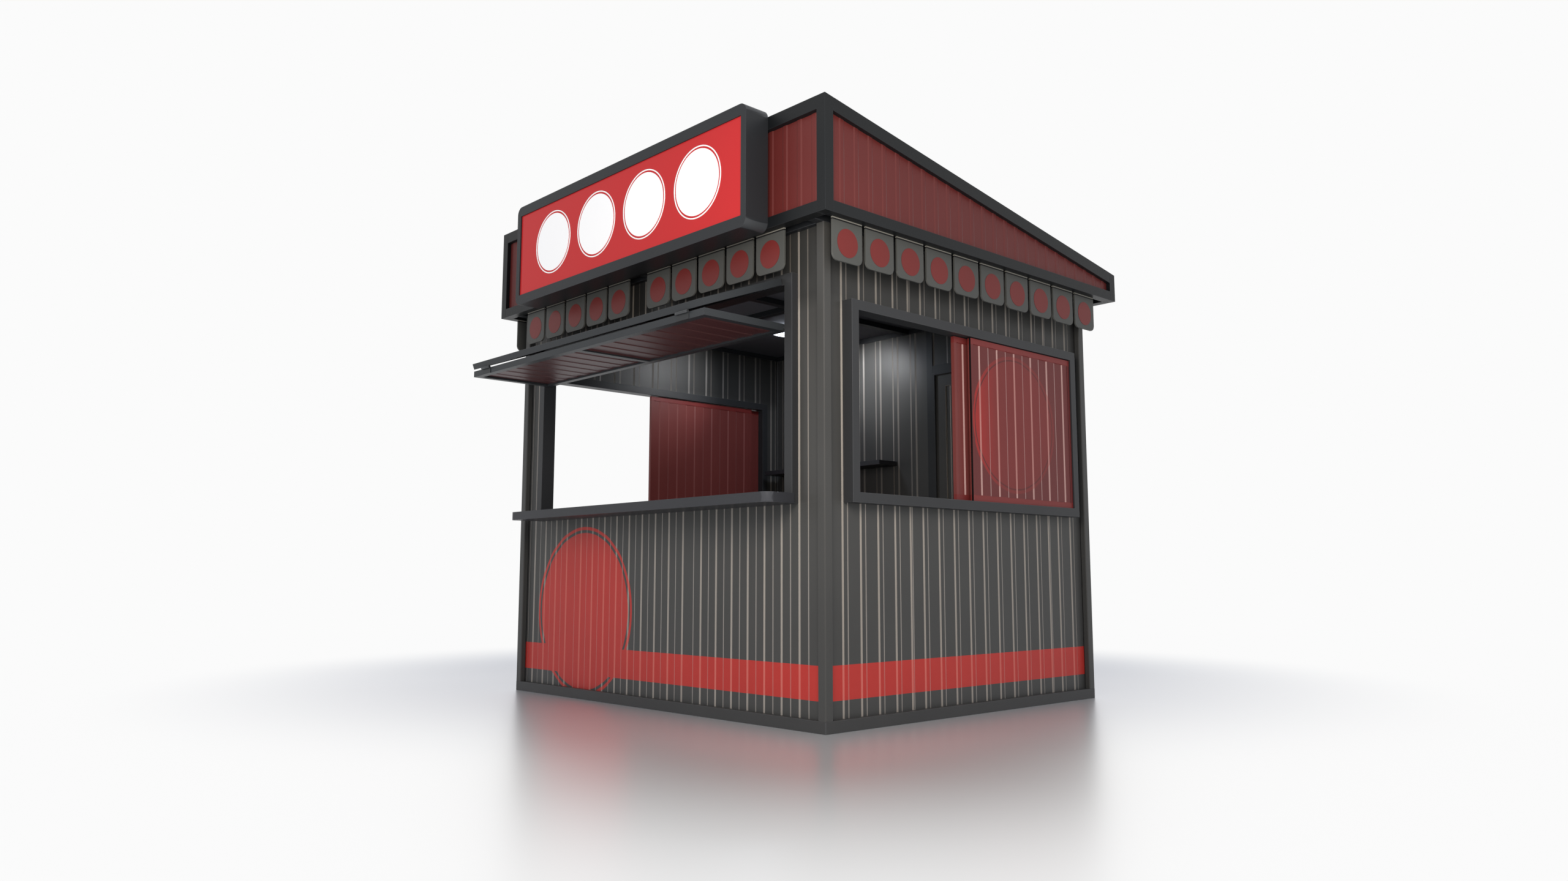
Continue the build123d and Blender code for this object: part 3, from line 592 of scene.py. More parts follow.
@dataclass(frozen=True)
class ValanceTile(CoatedSteel):
    """Powder-coated tile with a folded lip along its top and a groove under it, drawn as a
    painted highlight on the lip and painted shade in the groove.
    """

    lip_highlight: str = "84827b"
    groove_shade: str = "1c1c1d"
    top: float = 2.349
    lip: float = 0.007

    def coat(self, made: Surface) -> bpy.types.NodeSocket:
        """Return the coat's colour, with a painted highlight on the lip and painted shade in the
        groove under it.

        Args:
            made: Surface that gets the nodes.

        Returns:
            Socket of the colour.
        """
        height = made.add("ShaderNodeSeparateXYZ", {0: made.place}).outputs["Z"]
        colour = self.cloud(made, linear(self.colour))
        for drop, band in ((0.5, self.lip_highlight), (1.3, self.groove_shade)):
            line = {0: height, 1: self.top - drop * self.lip, 2: self.lip / 2}
            line = made.add("ShaderNodeMath", line, operation="COMPARE")
            colour = made.layers(colour, (line, linear(band)))
        return self.paint_bend_highlights(made, colour)


@dataclass(frozen=True)
class SignAcrylic:
    """Cast acrylic of the sign: glossy, a little wavy, lit softly from behind."""

    name: str
    colour: str
    glow: float
    roughness: float = 0.16
    wave: float = 0.02
    wave_depth: float = 0.00004

    def build(self) -> bpy.types.Material:
        """Build the material.

        Returns:
            The finished material.
        """
        made = Surface(self.name, self.roughness)
        made.set(Base_Color=linear(self.colour), Emission_Color=linear(self.colour))
        made.set(Emission_Strength=self.glow, Specular_IOR_Level=0.12, IOR=1.49)
        made.grain(self.wave, self.wave_depth)
        return made.material


@dataclass(frozen=True)
class OpalDiffuser:
    """Opal polycarbonate of the ceiling lamp, moulded with a fine grain, which glows evenly."""

    name: str
    colour: str
    glow: float
    roughness: float = 0.4
    grain: float = 0.003
    grain_depth: float = 0.00003

    def build(self) -> bpy.types.Material:
        """Build the material.

        Returns:
            The finished material.
        """
        made = Surface(self.name, self.roughness)
        made.set(Base_Color=linear(self.colour), Emission_Color=linear(self.colour))
        made.set(Emission_Strength=self.glow, IOR=1.58)
        made.grain(self.grain, self.grain_depth)
        return made.material


@dataclass(frozen=True)
class BrushedSteel:
    """Stainless hardware, brushed upright: fine lines, drawn 1.2 mm wide so that they show."""

    name: str
    colour: str
    roughness: float = 0.32
    line: float = 0.0012
    line_length: float = 0.06
    line_depth: float = 0.00004

    def build(self) -> bpy.types.Material:
        """Build the material.

        Returns:
            The finished material.
        """
        made = Surface(self.name, self.roughness, metallic=1.0)
        drawn_out = {"Vector": made.place, "Scale": (1.0, 1.0, self.line / self.line_length)}
        drawn_out = made.add("ShaderNodeMapping", drawn_out)
        lines = {"Vector": drawn_out, "Scale": 1 / self.line, "Detail": 2.0}
        lines = made.add("ShaderNodeTexNoise", lines)
        bump = made.add("ShaderNodeBump", {"Height": lines, "Distance": self.line_depth})
        made.connect("Normal", bump)
        made.set(Base_Color=linear(self.colour))
        return made.material


@dataclass(frozen=True)
class PhenolicDeck:
    """Film-faced plywood of the floor: dark, with a pressed mesh about 6 mm wide."""

    name: str
    colour: str
    roughness: float = 0.5
    mesh: float = 0.006
    mesh_depth: float = 0.0004
    stain: float = 0.15
    stain_width: float = 1 / 3

    def build(self) -> bpy.types.Material:
        """Build the material.

        Returns:
            The finished material.
        """
        made = Surface(self.name, self.roughness)
        cells = {"Vector": made.place, "Scale": 1 / self.mesh, "Randomness": 0.0}
        cells = made.add("ShaderNodeTexVoronoi", cells, feature="DISTANCE_TO_EDGE")
        bump = {"Height": cells.outputs["Distance"], "Distance": self.mesh_depth}
        made.connect("Normal", made.add("ShaderNodeBump", bump))
        noise = {"Vector": made.place, "Scale": 1 / self.stain_width, "Detail": 4.0}
        noise = made.add("ShaderNodeTexNoise", noise)
        span = {"To Min": 1 - self.stain, "To Max": 1 + self.stain}
        value = {"Value": noise, "From Min": 0.3, "From Max": 0.7, **span}
        colour = {"Color": linear(self.colour), "Value": made.add("ShaderNodeMapRange", value)}
        made.connect("Base Color", made.add("ShaderNodeHueSaturation", colour))
        return made.material


# Powder-coated steel: an even satin coat, with a painted highlight on its edges
FRAME_TUBE = CoatedSteel("powder_coated_frame_tube", "2c2e30", "53565a", 0.5)
FASCIA_TUBE = CoatedSteel("powder_coated_fascia_tube", "151719", "2e3134", 0.5)
CORNER_POST = CoatedSteel("powder_coated_corner_post", "424241", "525150", 0.3)
WINDOW_FRAME = CoatedSteel("powder_coated_window_frame", "323335", "525457", 0.5)
BASE_FRAME = CoatedSteel("powder_coated_base", "3b3b3b", "545558", 0.4)
SIGN_HOUSING = CoatedSteel("powder_coated_sign_housing", "27292c", "4a4d51", 0.5)
COUNTER = CoatedSteel("powder_coated_counter", "323337", "4c4e53", 0.5, 0.36)
TILE = ValanceTile("powder_coated_tile", "4a4b49", "636462", 0.3, 0.5)
# Cut vinyl on the tiles: one flat red, with no lighter edge
TILE_DISC = CoatedSteel("vinyl_disc_on_tile", "6b2624", "6b2624", 0.0, 0.35, 0.2)
FRONT_ROUNDEL = Roundel(-0.666, 0.499, 0.451, 0.468, 0.486)
# Coil-coated ribbed sheet: the roll leaves an even colour, and the bends carry a painted highlight
FRONT_CLADDING = PrintedCladding(
    "coil_coated_cladding_front", "424241", "ada69e", 0.65, roundel=FRONT_ROUNDEL
)
SIDE_CLADDING = PrintedCladding("coil_coated_cladding_side", "424241", "aba39a", 0.65)
# Unprinted cladding, with painted shade under the eaves
PLAIN_CLADDING = EavesShadeCladding("coil_coated_cladding_plain", "444443", "aba49c", 0.7)
FASCIA = CoatedSteel("coil_coated_fascia_red", "5f2624", "6a3e3c", 0.4)
WINDOW_LEAF = WindowLeafSheet("coil_coated_window_leaf_red", "642a29", "d2aea7", 0.62)
ROOF = CoatedSteel("coil_coated_roof_sheet", "37383b", "5a5b5d", 0.4)
# Shutter leaves: dark powder-coated tube round a dull red coil-coated sheet
UPPER_SHUTTER = ShutterLeaf(
    "shutter_leaf_upper", "2e3134", "2e3134", 0.5, node="hatch_upper_leaf", slope=20.5, length=0.515
)
LOWER_SHUTTER = ShutterLeaf(
    "shutter_leaf_lower", "2e3134", "2e3134", 0.5, node="hatch_lower_leaf", length=0.512
)
# Lining sheet with a matt coat: an even grey without shine
CEILING = CoatedSteel("slate_ceiling_lining", "606066", "606066", 0.0, 0.6)
# Phenolic film-faced plywood: dark brown, with a fine pressed mesh that dulls its shine
DECK = PhenolicDeck("phenolic_floor_deck", "3b3937")
# Brushed stainless and zinc-plated steel: bare metal with a soft shine
HARDWARE = BrushedSteel("brushed_stainless_hardware", "a2a3a5")
SCREW = BrushedSteel("zinc_plated_screws", "8f9092", 0.4)
# Cast acrylic and opal polycarbonate: smooth plastics that glow from behind
SIGN_RED = SignAcrylic("sign_acrylic_red", "b42729", 0.22)
SIGN_WHITE = SignAcrylic("sign_acrylic_white", "f2f2f2", 0.2)
LAMP = OpalDiffuser("opal_lamp_diffuser", "dfe8f6", 6.0)

Finish = CoatedSteel | SignAcrylic | OpalDiffuser | BrushedSteel | PhenolicDeck

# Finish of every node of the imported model
NODE_FINISHES: dict[str, Finish] = {
    "base_frame": BASE_FRAME,
    "floor_panel": DECK,
    "corner_posts": CORNER_POST,
    "front_lower_wall": FRONT_CLADDING,
    "front_left_pier": PLAIN_CLADDING,
    "front_right_pier": PLAIN_CLADDING,
    "front_upper_wall": PLAIN_CLADDING,
    "right_lower_wall": SIDE_CLADDING,
    "right_wall_piers": PLAIN_CLADDING,
    "right_upper_wall": PLAIN_CLADDING,
    "left_lower_wall": SIDE_CLADDING,
    "left_wall_piers": PLAIN_CLADDING,
    "left_upper_wall": PLAIN_CLADDING,
    "back_wall_hinge_side": SIDE_CLADDING,
    "back_wall_latch_side": SIDE_CLADDING,
    "back_wall_over_door": PLAIN_CLADDING,
    "hatch_frame": WINDOW_FRAME,
    "counter_shelf": COUNTER,
    "hatch_upper_leaf": UPPER_SHUTTER,
    "hatch_lower_leaf": LOWER_SHUTTER,
    "hatch_hinges": FRAME_TUBE,
    "right_window_frame": WINDOW_FRAME,
    "right_window_leaves": WINDOW_LEAF,
    "left_window_frame": WINDOW_FRAME,
    "left_window_leaves": WINDOW_LEAF,
    "door_jambs": FRAME_TUBE,
    "door_lintel": FRAME_TUBE,
    "door_leaf": SIDE_CLADDING,
    "door_hinge_pins": HARDWARE,
    "door_hinge_sleeves": HARDWARE,
    "door_handles": HARDWARE,
    "fascia_bottom_rails": FASCIA_TUBE,
    "fascia_top_rails": FASCIA_TUBE,
    "fascia_corner_posts": FASCIA_TUBE,
    "fascia_infills": FASCIA,
    "ceiling_panel": CEILING,
    "roof_beams": SIGN_HOUSING,
    "roof_sheet": ROOF,
    "ceiling_lamp": LAMP,
    "inner_shelf": COUNTER,
    "sign_box": SIGN_HOUSING,
    "sign_face": SIGN_RED,
    "valance_front": TILE,
    "valance_sides": TILE,
    "valance_back": TILE,
}


@dataclass
class Finishes:
    """Builds each finish once and keeps it."""

    made: dict[str, bpy.types.Material] = field(default_factory=dict)

    def get(self, finish: Finish) -> bpy.types.Material:
        """Find the material of a finish, and build it the first time.

        Args:
            finish: The finish.

        Returns:
            Its material.
        """
        if finish.name not in self.made:
            self.made[finish.name] = finish.build()
        return self.made[finish.name]


class Pattern:
    """Geometry Nodes tree that lays copies of a small piece, with named inputs for its sizes."""

    def __init__(self, name: str, sizes: dict[str, str]) -> None:
        """Start the tree.

        Args:
            name: Name of the tree.
            sizes: Name of each input, and its kind, such as "Float".
        """
        self.tree = bpy.data.node_groups.new(name, "GeometryNodeTree")
        sockets = self.tree.interface
        for label, kind in {**sizes, "Turn": "Rotation", "Material": "Material"}.items():
            sockets.new_socket(label, in_out="INPUT", socket_type=f"NodeSocket{kind}")
        sockets.new_socket("Geometry", in_out="OUTPUT", socket_type="NodeSocketGeometry")
        self.given = self.add("NodeGroupInput").outputs

    def add(
        self, kind: str, inputs: dict[str | int, Any] | None = None, **settings: Any
    ) -> bpy.types.Node:
        """Add a node to this tree; the arguments are those of add_node."""
        return add_node(self.tree, kind, inputs, **settings)

    def end(self, points: bpy.types.Node, piece: bpy.types.Node) -> None:
        """Put a piece on every point, make the copies real and give them their material.

        Args:
            points: Node that gives the points.
            piece: Node that gives the piece.
        """
        copies = {"Points": points, "Instance": piece, "Rotation": self.given["Turn"]}
        copies = self.add("GeometryNodeInstanceOnPoints", copies)
        solid = self.add("GeometryNodeRealizeInstances", {"Geometry": copies})
        dressed = {"Geometry": solid, "Material": self.given["Material"]}
        dressed = self.add("GeometryNodeSetMaterial", dressed)
        self.add("NodeGroupOutput", {"Geometry": dressed})

    def lay(self, name: str, values: dict[str, Any]) -> bpy.types.Object:
        """Turn the tree with its sizes into a plain mesh object.

        Args:
            name: Name of the object.
            values: Value of each of the tree's inputs, by name.

        Returns:
            The object, at the origin and with no modifier.
        """
        piece = bpy.data.objects.new(name, bpy.data.meshes.new(name))
        bpy.context.scene.collection.objects.link(piece)
        modifier = piece.modifiers.new(self.tree.name, "NODES")
        modifier.node_group = self.tree
        for socket in self.tree.interface.items_tree:
            if socket.in_out == "INPUT":
                modifier[socket.identifier] = values[socket.name]
        piece.update_tag()
        evaluated = piece.evaluated_get(bpy.context.evaluated_depsgraph_get())
        mesh = bpy.data.meshes.new_from_object(evaluated)
        piece.modifiers.remove(modifier)
        piece.data = mesh
        mesh.name = name
        return piece


class Row(Pattern):
    """Row of flat round pieces: Count of them, from Start on, each a Step further."""

    segments: int = 72

    def __init__(self, name: str, sizes: dict[str, str]) -> None:
        """Start the tree with the row's points.

        Args:
            name: Name of the tree.
            sizes: Name and kind of each input beside the row's own.
        """
        row = {"Count": "Int", "Start": "Vector", "Step": "Vector"}
        super().__init__(name, {**row, "Radius": "Float", "Thickness": "Float", **sizes})
        line = {"Count": self.given["Count"], "Start Location": self.given["Start"]}
        line["Offset"] = self.given["Step"]
        self.points = self.add("GeometryNodeMeshLine", line)


class RowOfDiscs(Row):
    """Row of discs; each lies on the plane that it is turned to."""

    def __init__(self) -> None:
        """Build the tree."""
        super().__init__("row_of_discs", {})
        disc = {"Radius": self.given["Radius"], "Depth": self.given["Thickness"]}
        disc = self.add("GeometryNodeMeshCylinder", {"Vertices": self.segments, **disc})
        self.end(self.points, disc)


class RowOfRings(Row):
    """Row of rings with a flat section, drawn round their middle radius."""

    def __init__(self) -> None:
        """Build the tree."""
        super().__init__("row_of_rings", {"Width": "Float"})
        circle = {"Resolution": self.segments, "Radius": self.given["Radius"]}
        circle = self.add("GeometryNodeCurvePrimitiveCircle", circle)
        section = {"Width": self.given["Width"], "Height": self.given["Thickness"]}
        section = self.add("GeometryNodeCurvePrimitiveQuadrilateral", section)
        ring = {"Curve": circle, "Profile Curve": section}
        self.end(self.points, self.add("GeometryNodeCurveToMesh", ring))


class FieldOfScrews(Pattern):
    """Field of screws, Across by Up of them: a washer and a six-sided head on it."""

    washer_sides: int = 16
    head_sides: int = 6

    def __init__(self) -> None:
        """Build the tree."""
        counts = dict.fromkeys(("Across", "Up"), "Int")
        lengths = ("Width", "Height", "Washer", "Head", "Washer Thickness", "Head Height")
        sizes = {**counts, **dict.fromkeys(lengths, "Float"), "Centre": "Vector"}
        super().__init__("field_of_screws", sizes)
        given = self.given
        grid = {"Size X": given["Width"], "Size Y": given["Height"]}
        grid |= {"Vertices X": given["Across"], "Vertices Y": given["Up"]}
        grid = self.add("GeometryNodeMeshGrid", grid)
        laid = {"Geometry": grid, "Translation": given["Centre"], "Rotation": given["Turn"]}
        laid = self.add("GeometryNodeTransform", laid)
        washer = {"Radius": given["Washer"], "Depth": given["Washer Thickness"]}
        washer = self.add("GeometryNodeMeshCylinder", {"Vertices": self.washer_sides, **washer})
        head = {"Radius": given["Head"], "Depth": given["Head Height"]}
        head = self.add("GeometryNodeMeshCylinder", {"Vertices": self.head_sides, **head})
        lift = self.add("ShaderNodeCombineXYZ", {2: given["Head Height"]})
        lift = self.add("ShaderNodeVectorMath", {0: lift, "Scale": 0.5}, operation="SCALE")
        raised = self.add("GeometryNodeTransform", {"Geometry": head, "Translation": lift})
        screw = self.add("GeometryNodeJoinGeometry", {0: [washer, raised]})
        self.end(laid, screw)


def join(name: str, parts: list[bpy.types.Object]) -> bpy.types.Object:
    """Join objects into the first one and name it.

    Args:
        name: Name of the joined piece.
        parts: Objects at the origin.

    Returns:
        The joined piece.
    """
    first = parts[0]
    chosen = {"active_object": first, "object": first, "selected_objects": parts}
    with bpy.context.temp_override(**chosen, selected_editable_objects=parts):
        bpy.ops.object.join()
    first.name = name
    first.data.name = name
    return first


@dataclass
class Shell:
    """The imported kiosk: every node gets its finish, and its edges are eased."""

    finishes: Finishes
    edge: float = 0.0015
    weld: float = 0.00002
    # Nodes with one of these words in their name keep their edges sharp
    sharp: tuple[str, ...] = (
        "wall", "pier", "infill", "lamp", "face", "panel", "roof_sheet", "window_leaves"
    )

    def build(self) -> None:
        """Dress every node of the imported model."""
        for name, node in sorted(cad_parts.items()):
            material = self.finishes.get(NODE_FINISHES[name])
            node.data.materials.clear()
            node.data.materials.append(material)
            if not any(word in name for word in self.sharp):
                self.ease(node)
        log.info("shell: %d nodes finished", len(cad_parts))

    def ease(self, node: bpy.types.Object) -> None:
        """Weld a node's loose triangles and round its edges; its own mesh stays as it is.

        Args:
            node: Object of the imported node.
        """
        weld = node.modifiers.new("weld", "WELD")
        weld.merge_threshold = self.weld
        bevel = node.modifiers.new("eased_edges", "BEVEL")
        bevel.width = self.edge
        bevel.segments = 2
        bevel.limit_method = "ANGLE"
        bevel.angle_limit = math.radians(25)
        bevel.miter_outer = "MITER_SHARP"


@dataclass
class SetBackWalls:
    """Ribbed walls whose outer face lies 30 mm behind the faces of the posts.

    A packed wall lies 5 mm behind them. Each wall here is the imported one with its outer
    ribbed face moved inwards; its inner face, its ends and its openings stay.
    """

    finishes: Finishes
    set_back: float = 0.025
    skin: float = 0.010
    weld: float = 0.00002
    # The ribs' places along a wall, times the stretch and plus the shift, are the photograph's
    stretch: float = 1.007
    front_shift: float = -0.0343
    side_shift: float = 0.0330

    def build(self) -> None:
        """Make every wall, pier and upper wall anew."""
        walls = [name for name in sorted(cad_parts) if "wall" in name or "pier" in name]
        for name in walls:
            self.wall(name)
        log.info("walls: %d set back", len(walls))

    def wall(self, name: str) -> None:
        """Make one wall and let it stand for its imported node.

        Args:
            name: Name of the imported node.
        """
        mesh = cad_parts[name].data.copy()
        mesh.name = f"{name}_set_back"
        solid = bmesh.new()
        solid.from_mesh(mesh)
        bmesh.ops.remove_doubles(solid, verts=solid.verts, dist=self.weld)
        for corners in self.separate(solid):
            self.push(corners, name)
        bmesh.ops.remove_doubles(solid, verts=solid.verts, dist=self.weld)
        bmesh.ops.dissolve_degenerate(solid, edges=solid.edges, dist=self.weld)
        solid.to_mesh(mesh)
        solid.free()
        mesh.materials.clear()
        mesh.materials.append(self.finishes.get(NODE_FINISHES[name]))
        piece = bpy.data.objects.new(mesh.name, mesh)
        bpy.context.scene.collection.objects.link(piece)
        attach(piece, KIOSK)
        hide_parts(name)

    def separate(self, solid: bmesh.types.BMesh) -> Iterator[list[bmesh.types.BMVert]]:
        """Part a mesh into its separate solids.

        Args:
            solid: Welded mesh.

        Yields:
            The corners of one solid after the other.
        """
        left = set(solid.verts)
        while left:
            corners = [left.pop()]
            for corner in corners:
                near = {edge.other_vert(corner) for edge in corner.link_edges} & left
                left -= near
                corners.extend(near)
            yield corners

    def push(self, corners: list[bmesh.types.BMVert], name: str) -> None:
        """Move the outer face of one solid inwards, and its ribs along, but not past its ends.

        Args:
            corners: Corners of the solid.
            name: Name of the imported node, which starts with the side that it is on.
        """
        on_side = name.startswith(("right", "left"))
        across, along = (0, 1) if on_side else (1, 0)
        outwards = 1 if name.startswith(("right", "back")) else -1
        shift = self.side_shift if on_side else self.front_shift
        face = max(outwards * corner.co[across] for corner in corners)
        low = min(corner.co[along] for corner in corners)
        high = max(corner.co[along] for corner in corners)
        for corner in corners:
            if face - outwards * corner.co[across] < self.skin:
                corner.co[across] -= outwards * self.set_back
                if low + self.weld < corner.co[along] < high - self.weld:
                    moved = corner.co[along] * self.stretch + shift
                    corner.co[along] = min(max(moved, low), high)


@dataclass
class Sign:
    """The white discs and rings on the sign's face, left bare."""

    finishes: Finishes
    rings: RowOfRings
    discs: RowOfDiscs
    first: float = -0.638
    spacing: float = 0.449
    height: float = 2.646
    count: int = 4
    disc_radius: float = 0.170
    ring_radius: float = 0.1835
    ring_width: float = 0.0065
    thickness: float = 0.003

    def build(self) -> None:
        """Lay the discs and rings on the sign's face."""
        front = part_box("sign_face")[0].y
        common = {
            "Count": self.count,
            "Start": Vector((self.first, front - self.thickness / 2, self.height)),
            "Step": Vector((self.spacing, 0.0, 0.0)),
            "Turn": Facing.FRONT.value,
            "Thickness": self.thickness,
            "Material": self.finishes.get(SIGN_WHITE),
        }
        disc = self.discs.lay("sign_discs_flat", {**common, "Radius": self.disc_radius})
        ring = {"Radius": self.ring_radius, "Width": self.ring_width}
        ring = self.rings.lay("sign_rings", {**common, **ring})
        piece = join("sign_discs", [disc, ring])
        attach(piece, KIOSK)
        log.info("sign: %s with %d discs", piece.name, self.count)


@dataclass(frozen=True)
class TileRow:
    """A row of valance tiles: its wall, the middle of its first tile and how many it has."""

    facing: Facing
    start: Vector
    step: Vector
    count: int


@dataclass
class Valance:
    """The red discs on the valance tiles, left bare."""

    finishes: Finishes
    discs: RowOfDiscs
    radius: float = 0.069
    thickness: float = 0.0012
    height: float = 2.238
    pitch: float = 0.225
    tile: float = 0.200
    front_gap: float = 0.171
    group: int = 5
    side_count: int = 10
    back_count: int = 11

    def rows(self) -> list[TileRow]:
        """Place the rows by the nodes that hold their tiles.

        Returns:
            The rows of tiles, two on the front and one on each other side.
        """
        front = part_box("valance_front")[0]
        side_low, side_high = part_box("valance_sides")
        back_low, back_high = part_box("valance_back")
        out = self.thickness / 2
        half = self.tile / 2
        second = front.x + (self.group - 1) * self.pitch + self.tile + self.front_gap
        along = Vector((self.pitch, 0.0, 0.0))
        rearwards = Vector((0.0, self.pitch, 0.0))
        places = (
            (Facing.FRONT, front.x + half, front.y - out, along, self.group),
            (Facing.FRONT, second + half, front.y - out, along, self.group),
            (Facing.RIGHT, side_high.x + out, side_low.y + half, rearwards, self.side_count),
            (Facing.LEFT, side_low.x - out, side_low.y + half, rearwards, self.side_count),
            (Facing.BACK, back_low.x + half, back_high.y + out, along, self.back_count),
        )
        return [
            TileRow(facing, Vector((across, deep, self.height)), step, count)
            for facing, across, deep, step, count in places
        ]

    def build(self) -> None:
        """Lay a disc on every tile."""
        common = {
            "Radius": self.radius,
            "Thickness": self.thickness,
            "Material": self.finishes.get(TILE_DISC),
        }
        parts = []
        for number, row in enumerate(self.rows()):
            run = {"Count": row.count, "Start": row.start, "Step": row.step}
            values = {**common, **run, "Turn": row.facing.value}
            parts.append(self.discs.lay(f"valance_row_{number}", values))
        piece = join("valance_discs", parts)
        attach(piece, KIOSK)
        log.info("valance: %s", piece.name)


@dataclass
class RoofScrews:
    """Self-drilling screws with washers, on the crests of the roof sheet."""

    finishes: Finishes
    screws: FieldOfScrews
    crest_pitch: float = 0.200
    crest_height: float = 0.030
    rows: int = 4
    margin: float = 0.10
    washer: float = 0.009
    washer_thickness: float = 0.003
    head: float = 0.005
    head_height: float = 0.009

    def build(self) -> None:
        """Drive a screw through every crest at every row."""
        low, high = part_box("roof_sheet")
        run = high.y - low.y
        fall = math.atan2(high.z - low.z - self.crest_height, run)
        across = 2 * int((high.x - self.margin / 2) / self.crest_pitch) + 1
        middle = (low.z + high.z + self.crest_height) / 2
        values = {
            "Across": across,
            "Up": self.rows,
            "Width": (across - 1) * self.crest_pitch,
            "Height": (run - 2 * self.margin) / math.cos(fall),
            "Centre": Vector((0.0, (low.y + high.y) / 2, middle)),
            "Turn": (-fall, 0.0, 0.0),
            "Washer": self.washer,
            "Head": self.head,
            "Washer Thickness": self.washer_thickness,
            "Head Height": self.head_height,
            "Material": self.finishes.get(SCREW),
        }
        piece = self.screws.lay("roof_screws", values)
        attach(piece, KIOSK)
        log.info("roof: %s", piece.name)


@dataclass
class StudioFloor:
    """Pale floor that mirrors the kiosk softly near its foot and is plain white far off.

    A span is a pair of distances in metres, over which a change starts and ends. The
    painted shade on the mirroring round the kiosk, and the whitening, are measured from
    the shade's centre; the others from the footprint.
    """

    white: float
    size: float = 120.0
    colour: str = "f1f4f9"
    roughness: float = 0.31
    # Colour and centre of the painted shade that darkens the floor's reflection round the kiosk
    shade_colour: str = "e3e4e8"
    shade_centre: tuple[float, float, float] = (-1.0, 0.85, 0.0)
    painted_shade_span: tuple[float, float] = (1.8, 4.2)
    whiten_span: tuple[float, float] = (1.4, 4.4)
    mirror_span: tuple[float, float] = (0.7, 2.9)
    mirror_near: float = 0.84
    mirror_far: float = 0.12
    vanish_span: tuple[float, float] = (4.0, 9.0)

    def build(self) -> None:
        """Lay the floor round the kiosk."""
        half = self.size / 2
        mesh = bpy.data.meshes.new("studio_floor")
        corners = [(-half, -half, 0.0), (half, -half, 0.0), (half, half, 0.0), (-half, half, 0.0)]
        mesh.from_pydata(corners, [], [(0, 1, 2, 3)])
        floor = bpy.data.objects.new("studio_floor", mesh)
        bpy.context.scene.collection.objects.link(floor)
        mesh.materials.append(self.material())
        floor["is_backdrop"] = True

    def material(self) -> bpy.types.Material:
        """Build the polished floor: matt and shiny coats that turn to plain white, with painted
        shade on the shiny coat round the kiosk.

        Returns:
            The finished material.
        """
        made = Surface("polished_studio_floor", self.roughness)
        shade = {0: made.place, 1: self.shade_centre}
        shade = made.add("ShaderNodeVectorMath", shade, operation="DISTANCE").outputs["Value"]
        away = self.away(made)
        spans = ((shade, self.painted_shade_span), (shade, self.whiten_span), (away, self.mirror_span))
        fades = []
        for distance, (start, end) in (*spans, (away, self.vanish_span)):
            fade = {"Value": distance, "From Min": start, "From Max": end}
            fade = made.add("ShaderNodeMapRange", fade, interpolation_type="SMOOTHSTEP")
            fades.append(fade)
        clear, whiten, mirror, vanish = fades
        mirror.inputs["To Min"].default_value = self.mirror_near
        mirror.inputs["To Max"].default_value = self.mirror_far
        # Painted bluish shade on the reflection near the kiosk, clearing further off
        painted_shade = made.layers(linear(self.shade_colour), (clear, linear("ffffff")))
        shiny = {"Color": painted_shade, "Roughness": self.roughness}
        shiny = made.add("ShaderNodeBsdfGlossy", shiny)
        matt = made.add("ShaderNodeBsdfDiffuse", {"Color": linear(self.colour)})
        white = {"Color": linear("ffffff"), "Strength": self.white}
        white = made.add("ShaderNodeEmission", white)
        ground = made.add("ShaderNodeMixShader", {0: whiten, 1: matt, 2: white})
        near = made.add("ShaderNodeMixShader", {0: mirror, 1: ground, 2: shiny})
        far = made.add("ShaderNodeMixShader", {0: vanish, 1: near, 2: white})
        made.tree.links.new(far.outputs[0], made.output.inputs["Surface"])
        made.tree.nodes.remove(made.shader)
        return made.material

    def away(self, made: Surface) -> bpy.types.NodeSocket:
        """Measure the distance from the kiosk's footprint.

        Args:
            made: Surface that gets the nodes.

        Returns:
            Socket of the distance in metres.
        """
        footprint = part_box("base_frame")[1]
        reach = made.add("ShaderNodeVectorMath", {0: made.place}, operation="ABSOLUTE")
        sides = {0: reach, 1: (footprint.x, footprint.y, 0.0)}
        beyond = made.add("ShaderNodeVectorMath", sides, operation="SUBTRACT")
        beyond = {0: beyond, 1: (0.0, 0.0, 0.0)}
        beyond = made.add("ShaderNodeVectorMath", beyond, operation="MAXIMUM")
        return made.add("ShaderNodeVectorMath", {0: beyond}, operation="LENGTH").outputs["Value"]


@dataclass(frozen=True)
class SoftLight:
    """Square light: its place, the point that it faces, its sides, its watts and its colour."""

    name: str
    place: tuple[float, float, float]
    target: tuple[float, float, float]
    size: float
    power: float
    colour: str = "ffffff"

    def hang(self) -> bpy.types.Object:
        """Hang the light.

        Returns:
            The light's object.
        """
        data = bpy.data.lights.new(self.name, "AREA")
        data.size = self.size
        data.color = linear(self.colour)[:3]
        return aim(data, self.place, self.target, self.power)


@dataclass(frozen=True)
class WallSpot:
    """Soft spot light on a wall: its place, the point that it faces, its watts and its cone."""

    name: str
    place: tuple[float, float, float]
    target: tuple[float, float, float]
    power: float
    cone: float = 62.0
    width: float = 0.05

    def hang(self) -> bpy.types.Object:
        """Hang the light.

        Returns:
            The light's object.
        """
        data = bpy.data.lights.new(self.name, "SPOT")
        data.spot_size = math.radians(self.cone)
        data.spot_blend = 1.0
        data.shadow_soft_size = self.width
        return aim(data, self.place, self.target, self.power)


